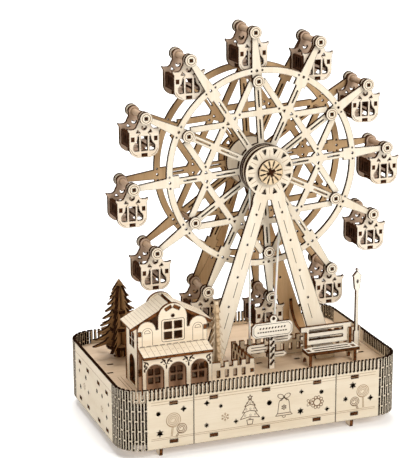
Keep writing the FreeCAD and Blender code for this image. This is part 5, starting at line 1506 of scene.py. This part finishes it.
@dataclass(frozen=True)
class SoftBox:
    """One square area light.

    Attributes:
        name: Its name.
        place: Its place.
        size: Its side.
        watts: Its power.
        colour: Its colour.
        aim: The point that it looks at.
    """

    name: str
    place: Place
    size: float
    watts: float
    colour: Colour = WHITE
    aim: Place = AIM

    def build(self) -> None:
        """Puts the light into the scene."""
        data = bpy.data.lights.new(self.name, "AREA")
        data.energy, data.size, data.color = self.watts, self.size, self.colour
        light = bpy.data.objects.new(self.name, data)
        light.location = self.place
        light.rotation_euler = (Vector(self.aim) - Vector(self.place)).to_track_quat("-Z", "Y").to_euler()
        bpy.context.scene.collection.objects.link(light)


@dataclass
class Studio:
    """Floor, backdrop, lights and camera.

    Attributes:
        azimuth: The camera's turn round the object from the front, in degrees.
        elevation: The camera's height angle in degrees.
        distance: Distance from the aim point to the camera.
        lens: Focal length in millimetres on a 36 mm sensor.
        shift: Lens shift right and up.
        floor_half: Half the floor's width.
        floor_back: Y where the floor bends up into the backdrop.
        bend: Radius of that bend.
        lights: Soft key from the upper right front, weak fill from the left, top and backdrop.
        air: Colour of the warm surroundings.
        air_strength: Their strength.
    """

    azimuth: float = -21.23
    elevation: float = 16.57
    distance: float = 1.47886
    lens: float = 129.75
    shift: Spot = (-0.0683, 0.0500)
    floor_half: float = 3.0
    floor_back: float = 1.8
    bend: float = 0.8
    lights: tuple[SoftBox, ...] = (
        SoftBox("key_light", (0.9, -1.7, 1.6), 1.3, 42.0, (1.0, 0.978, 0.94)),
        SoftBox("fill_light", (-1.9, -0.8, 0.7), 1.0, 6.5, (1.0, 0.95, 0.88)),
        SoftBox("top_light", (0.0, 0.3, 2.2), 1.2, 22.0),
        SoftBox("backdrop_light", (0.0, 1.2, 2.4), 1.6, 60.0, aim=(0.0, 2.6, 0.9)))
    air: Colour = (1.0, 0.86, 0.68)
    air_strength: float = 0.085

    def build(self) -> None:
        """Builds everything around the object."""
        self.place_camera()
        self.build_sweep()
        for light in self.lights:
            light.build()
        self.light_air()

    def place_camera(self) -> None:
        """Sets the camera at the photograph's place."""
        turn, tilt = math.radians(self.azimuth), math.radians(self.elevation)
        back = Vector((math.sin(turn) * math.cos(tilt), -math.cos(turn) * math.cos(tilt), math.sin(tilt)))
        data = bpy.data.cameras.new("camera")
        data.lens, data.sensor_width = self.lens, 36.0
        data.shift_x, data.shift_y = self.shift
        data.clip_start = 0.05
        camera = bpy.data.objects.new("camera", data)
        camera.location = Vector(AIM) + back * self.distance
        camera.rotation_mode = "QUATERNION"
        camera.rotation_quaternion = (-back).to_track_quat("-Z", "Y")
        bpy.context.scene.collection.objects.link(camera)
        bpy.context.scene.camera = camera

    def build_sweep(self) -> None:
        """A paper floor that curves up into a backdrop behind the object."""
        mesh = bmesh.new()
        half = self.floor_half
        front = mesh.edges.new([mesh.verts.new((x, -half, 0.0)) for x in (-half, half)])
        flat = bmesh.ops.extrude_edge_only(mesh, edges=[front])
        moved = [v for v in flat["geom"] if isinstance(v, bmesh.types.BMVert)]
        bmesh.ops.translate(mesh, verts=moved, vec=(0.0, half + self.floor_back, 0.0))
        edge = [e for e in flat["geom"] if isinstance(e, bmesh.types.BMEdge)][:1]
        curve = bmesh.ops.spin(mesh, geom=edge + moved, cent=(0.0, self.floor_back, self.bend),
                               axis=(1.0, 0.0, 0.0), angle=math.radians(90.0), steps=16)
        rim = [e for e in curve["geom_last"] if isinstance(e, bmesh.types.BMEdge)]
        wall = bmesh.ops.extrude_edge_only(mesh, edges=rim)
        raised = [v for v in wall["geom"] if isinstance(v, bmesh.types.BMVert)]
        bmesh.ops.translate(mesh, verts=raised, vec=(0.0, 0.0, half))
        bmesh.ops.recalc_face_normals(mesh, faces=mesh.faces)
        paper, g = new_material("studio_paper")
        g.finish({"Base Color": (0.92, 0.92, 0.92), "Roughness": 0.9, "Emission Color": WHITE,
                  "Emission Strength": 0.24})
        finish_mesh("studio_floor", mesh, paper, smooth=True)

    def light_air(self) -> None:
        """Warm light from all round, and colours shown as they are."""
        world = bpy.data.worlds.new("surroundings")
        world.use_nodes = True
        air = world.node_tree.nodes["Background"]
        air.inputs["Color"].default_value = (*self.air, 1.0)
        air.inputs["Strength"].default_value = self.air_strength
        bpy.context.scene.world = world
        bpy.context.scene.view_settings.view_transform = "Standard"


def main() -> None:
    """Dresses the frame, adds the engraving and builds the studio."""
    logging.basicConfig(level=logging.INFO, format="%(message)s")
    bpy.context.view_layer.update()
    shop = PlywoodShop(Groups())
    axis = next(joint["pos_m"] for joint in FRAME["joints"] if joint["name"] == "wheel_spin")
    hub = (axis[0] / MM, axis[2] / MM)
    for section in (BaseBox(shop), Supports(shop, hub), BigWheel(shop, hub), Cabins(shop), TicketHouse(shop),
                    Grounds(shop), Drive(shop)):
        section.dress()
        section.build()
    Studio().build()


if __name__ == "__main__":
    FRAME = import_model()
    main()
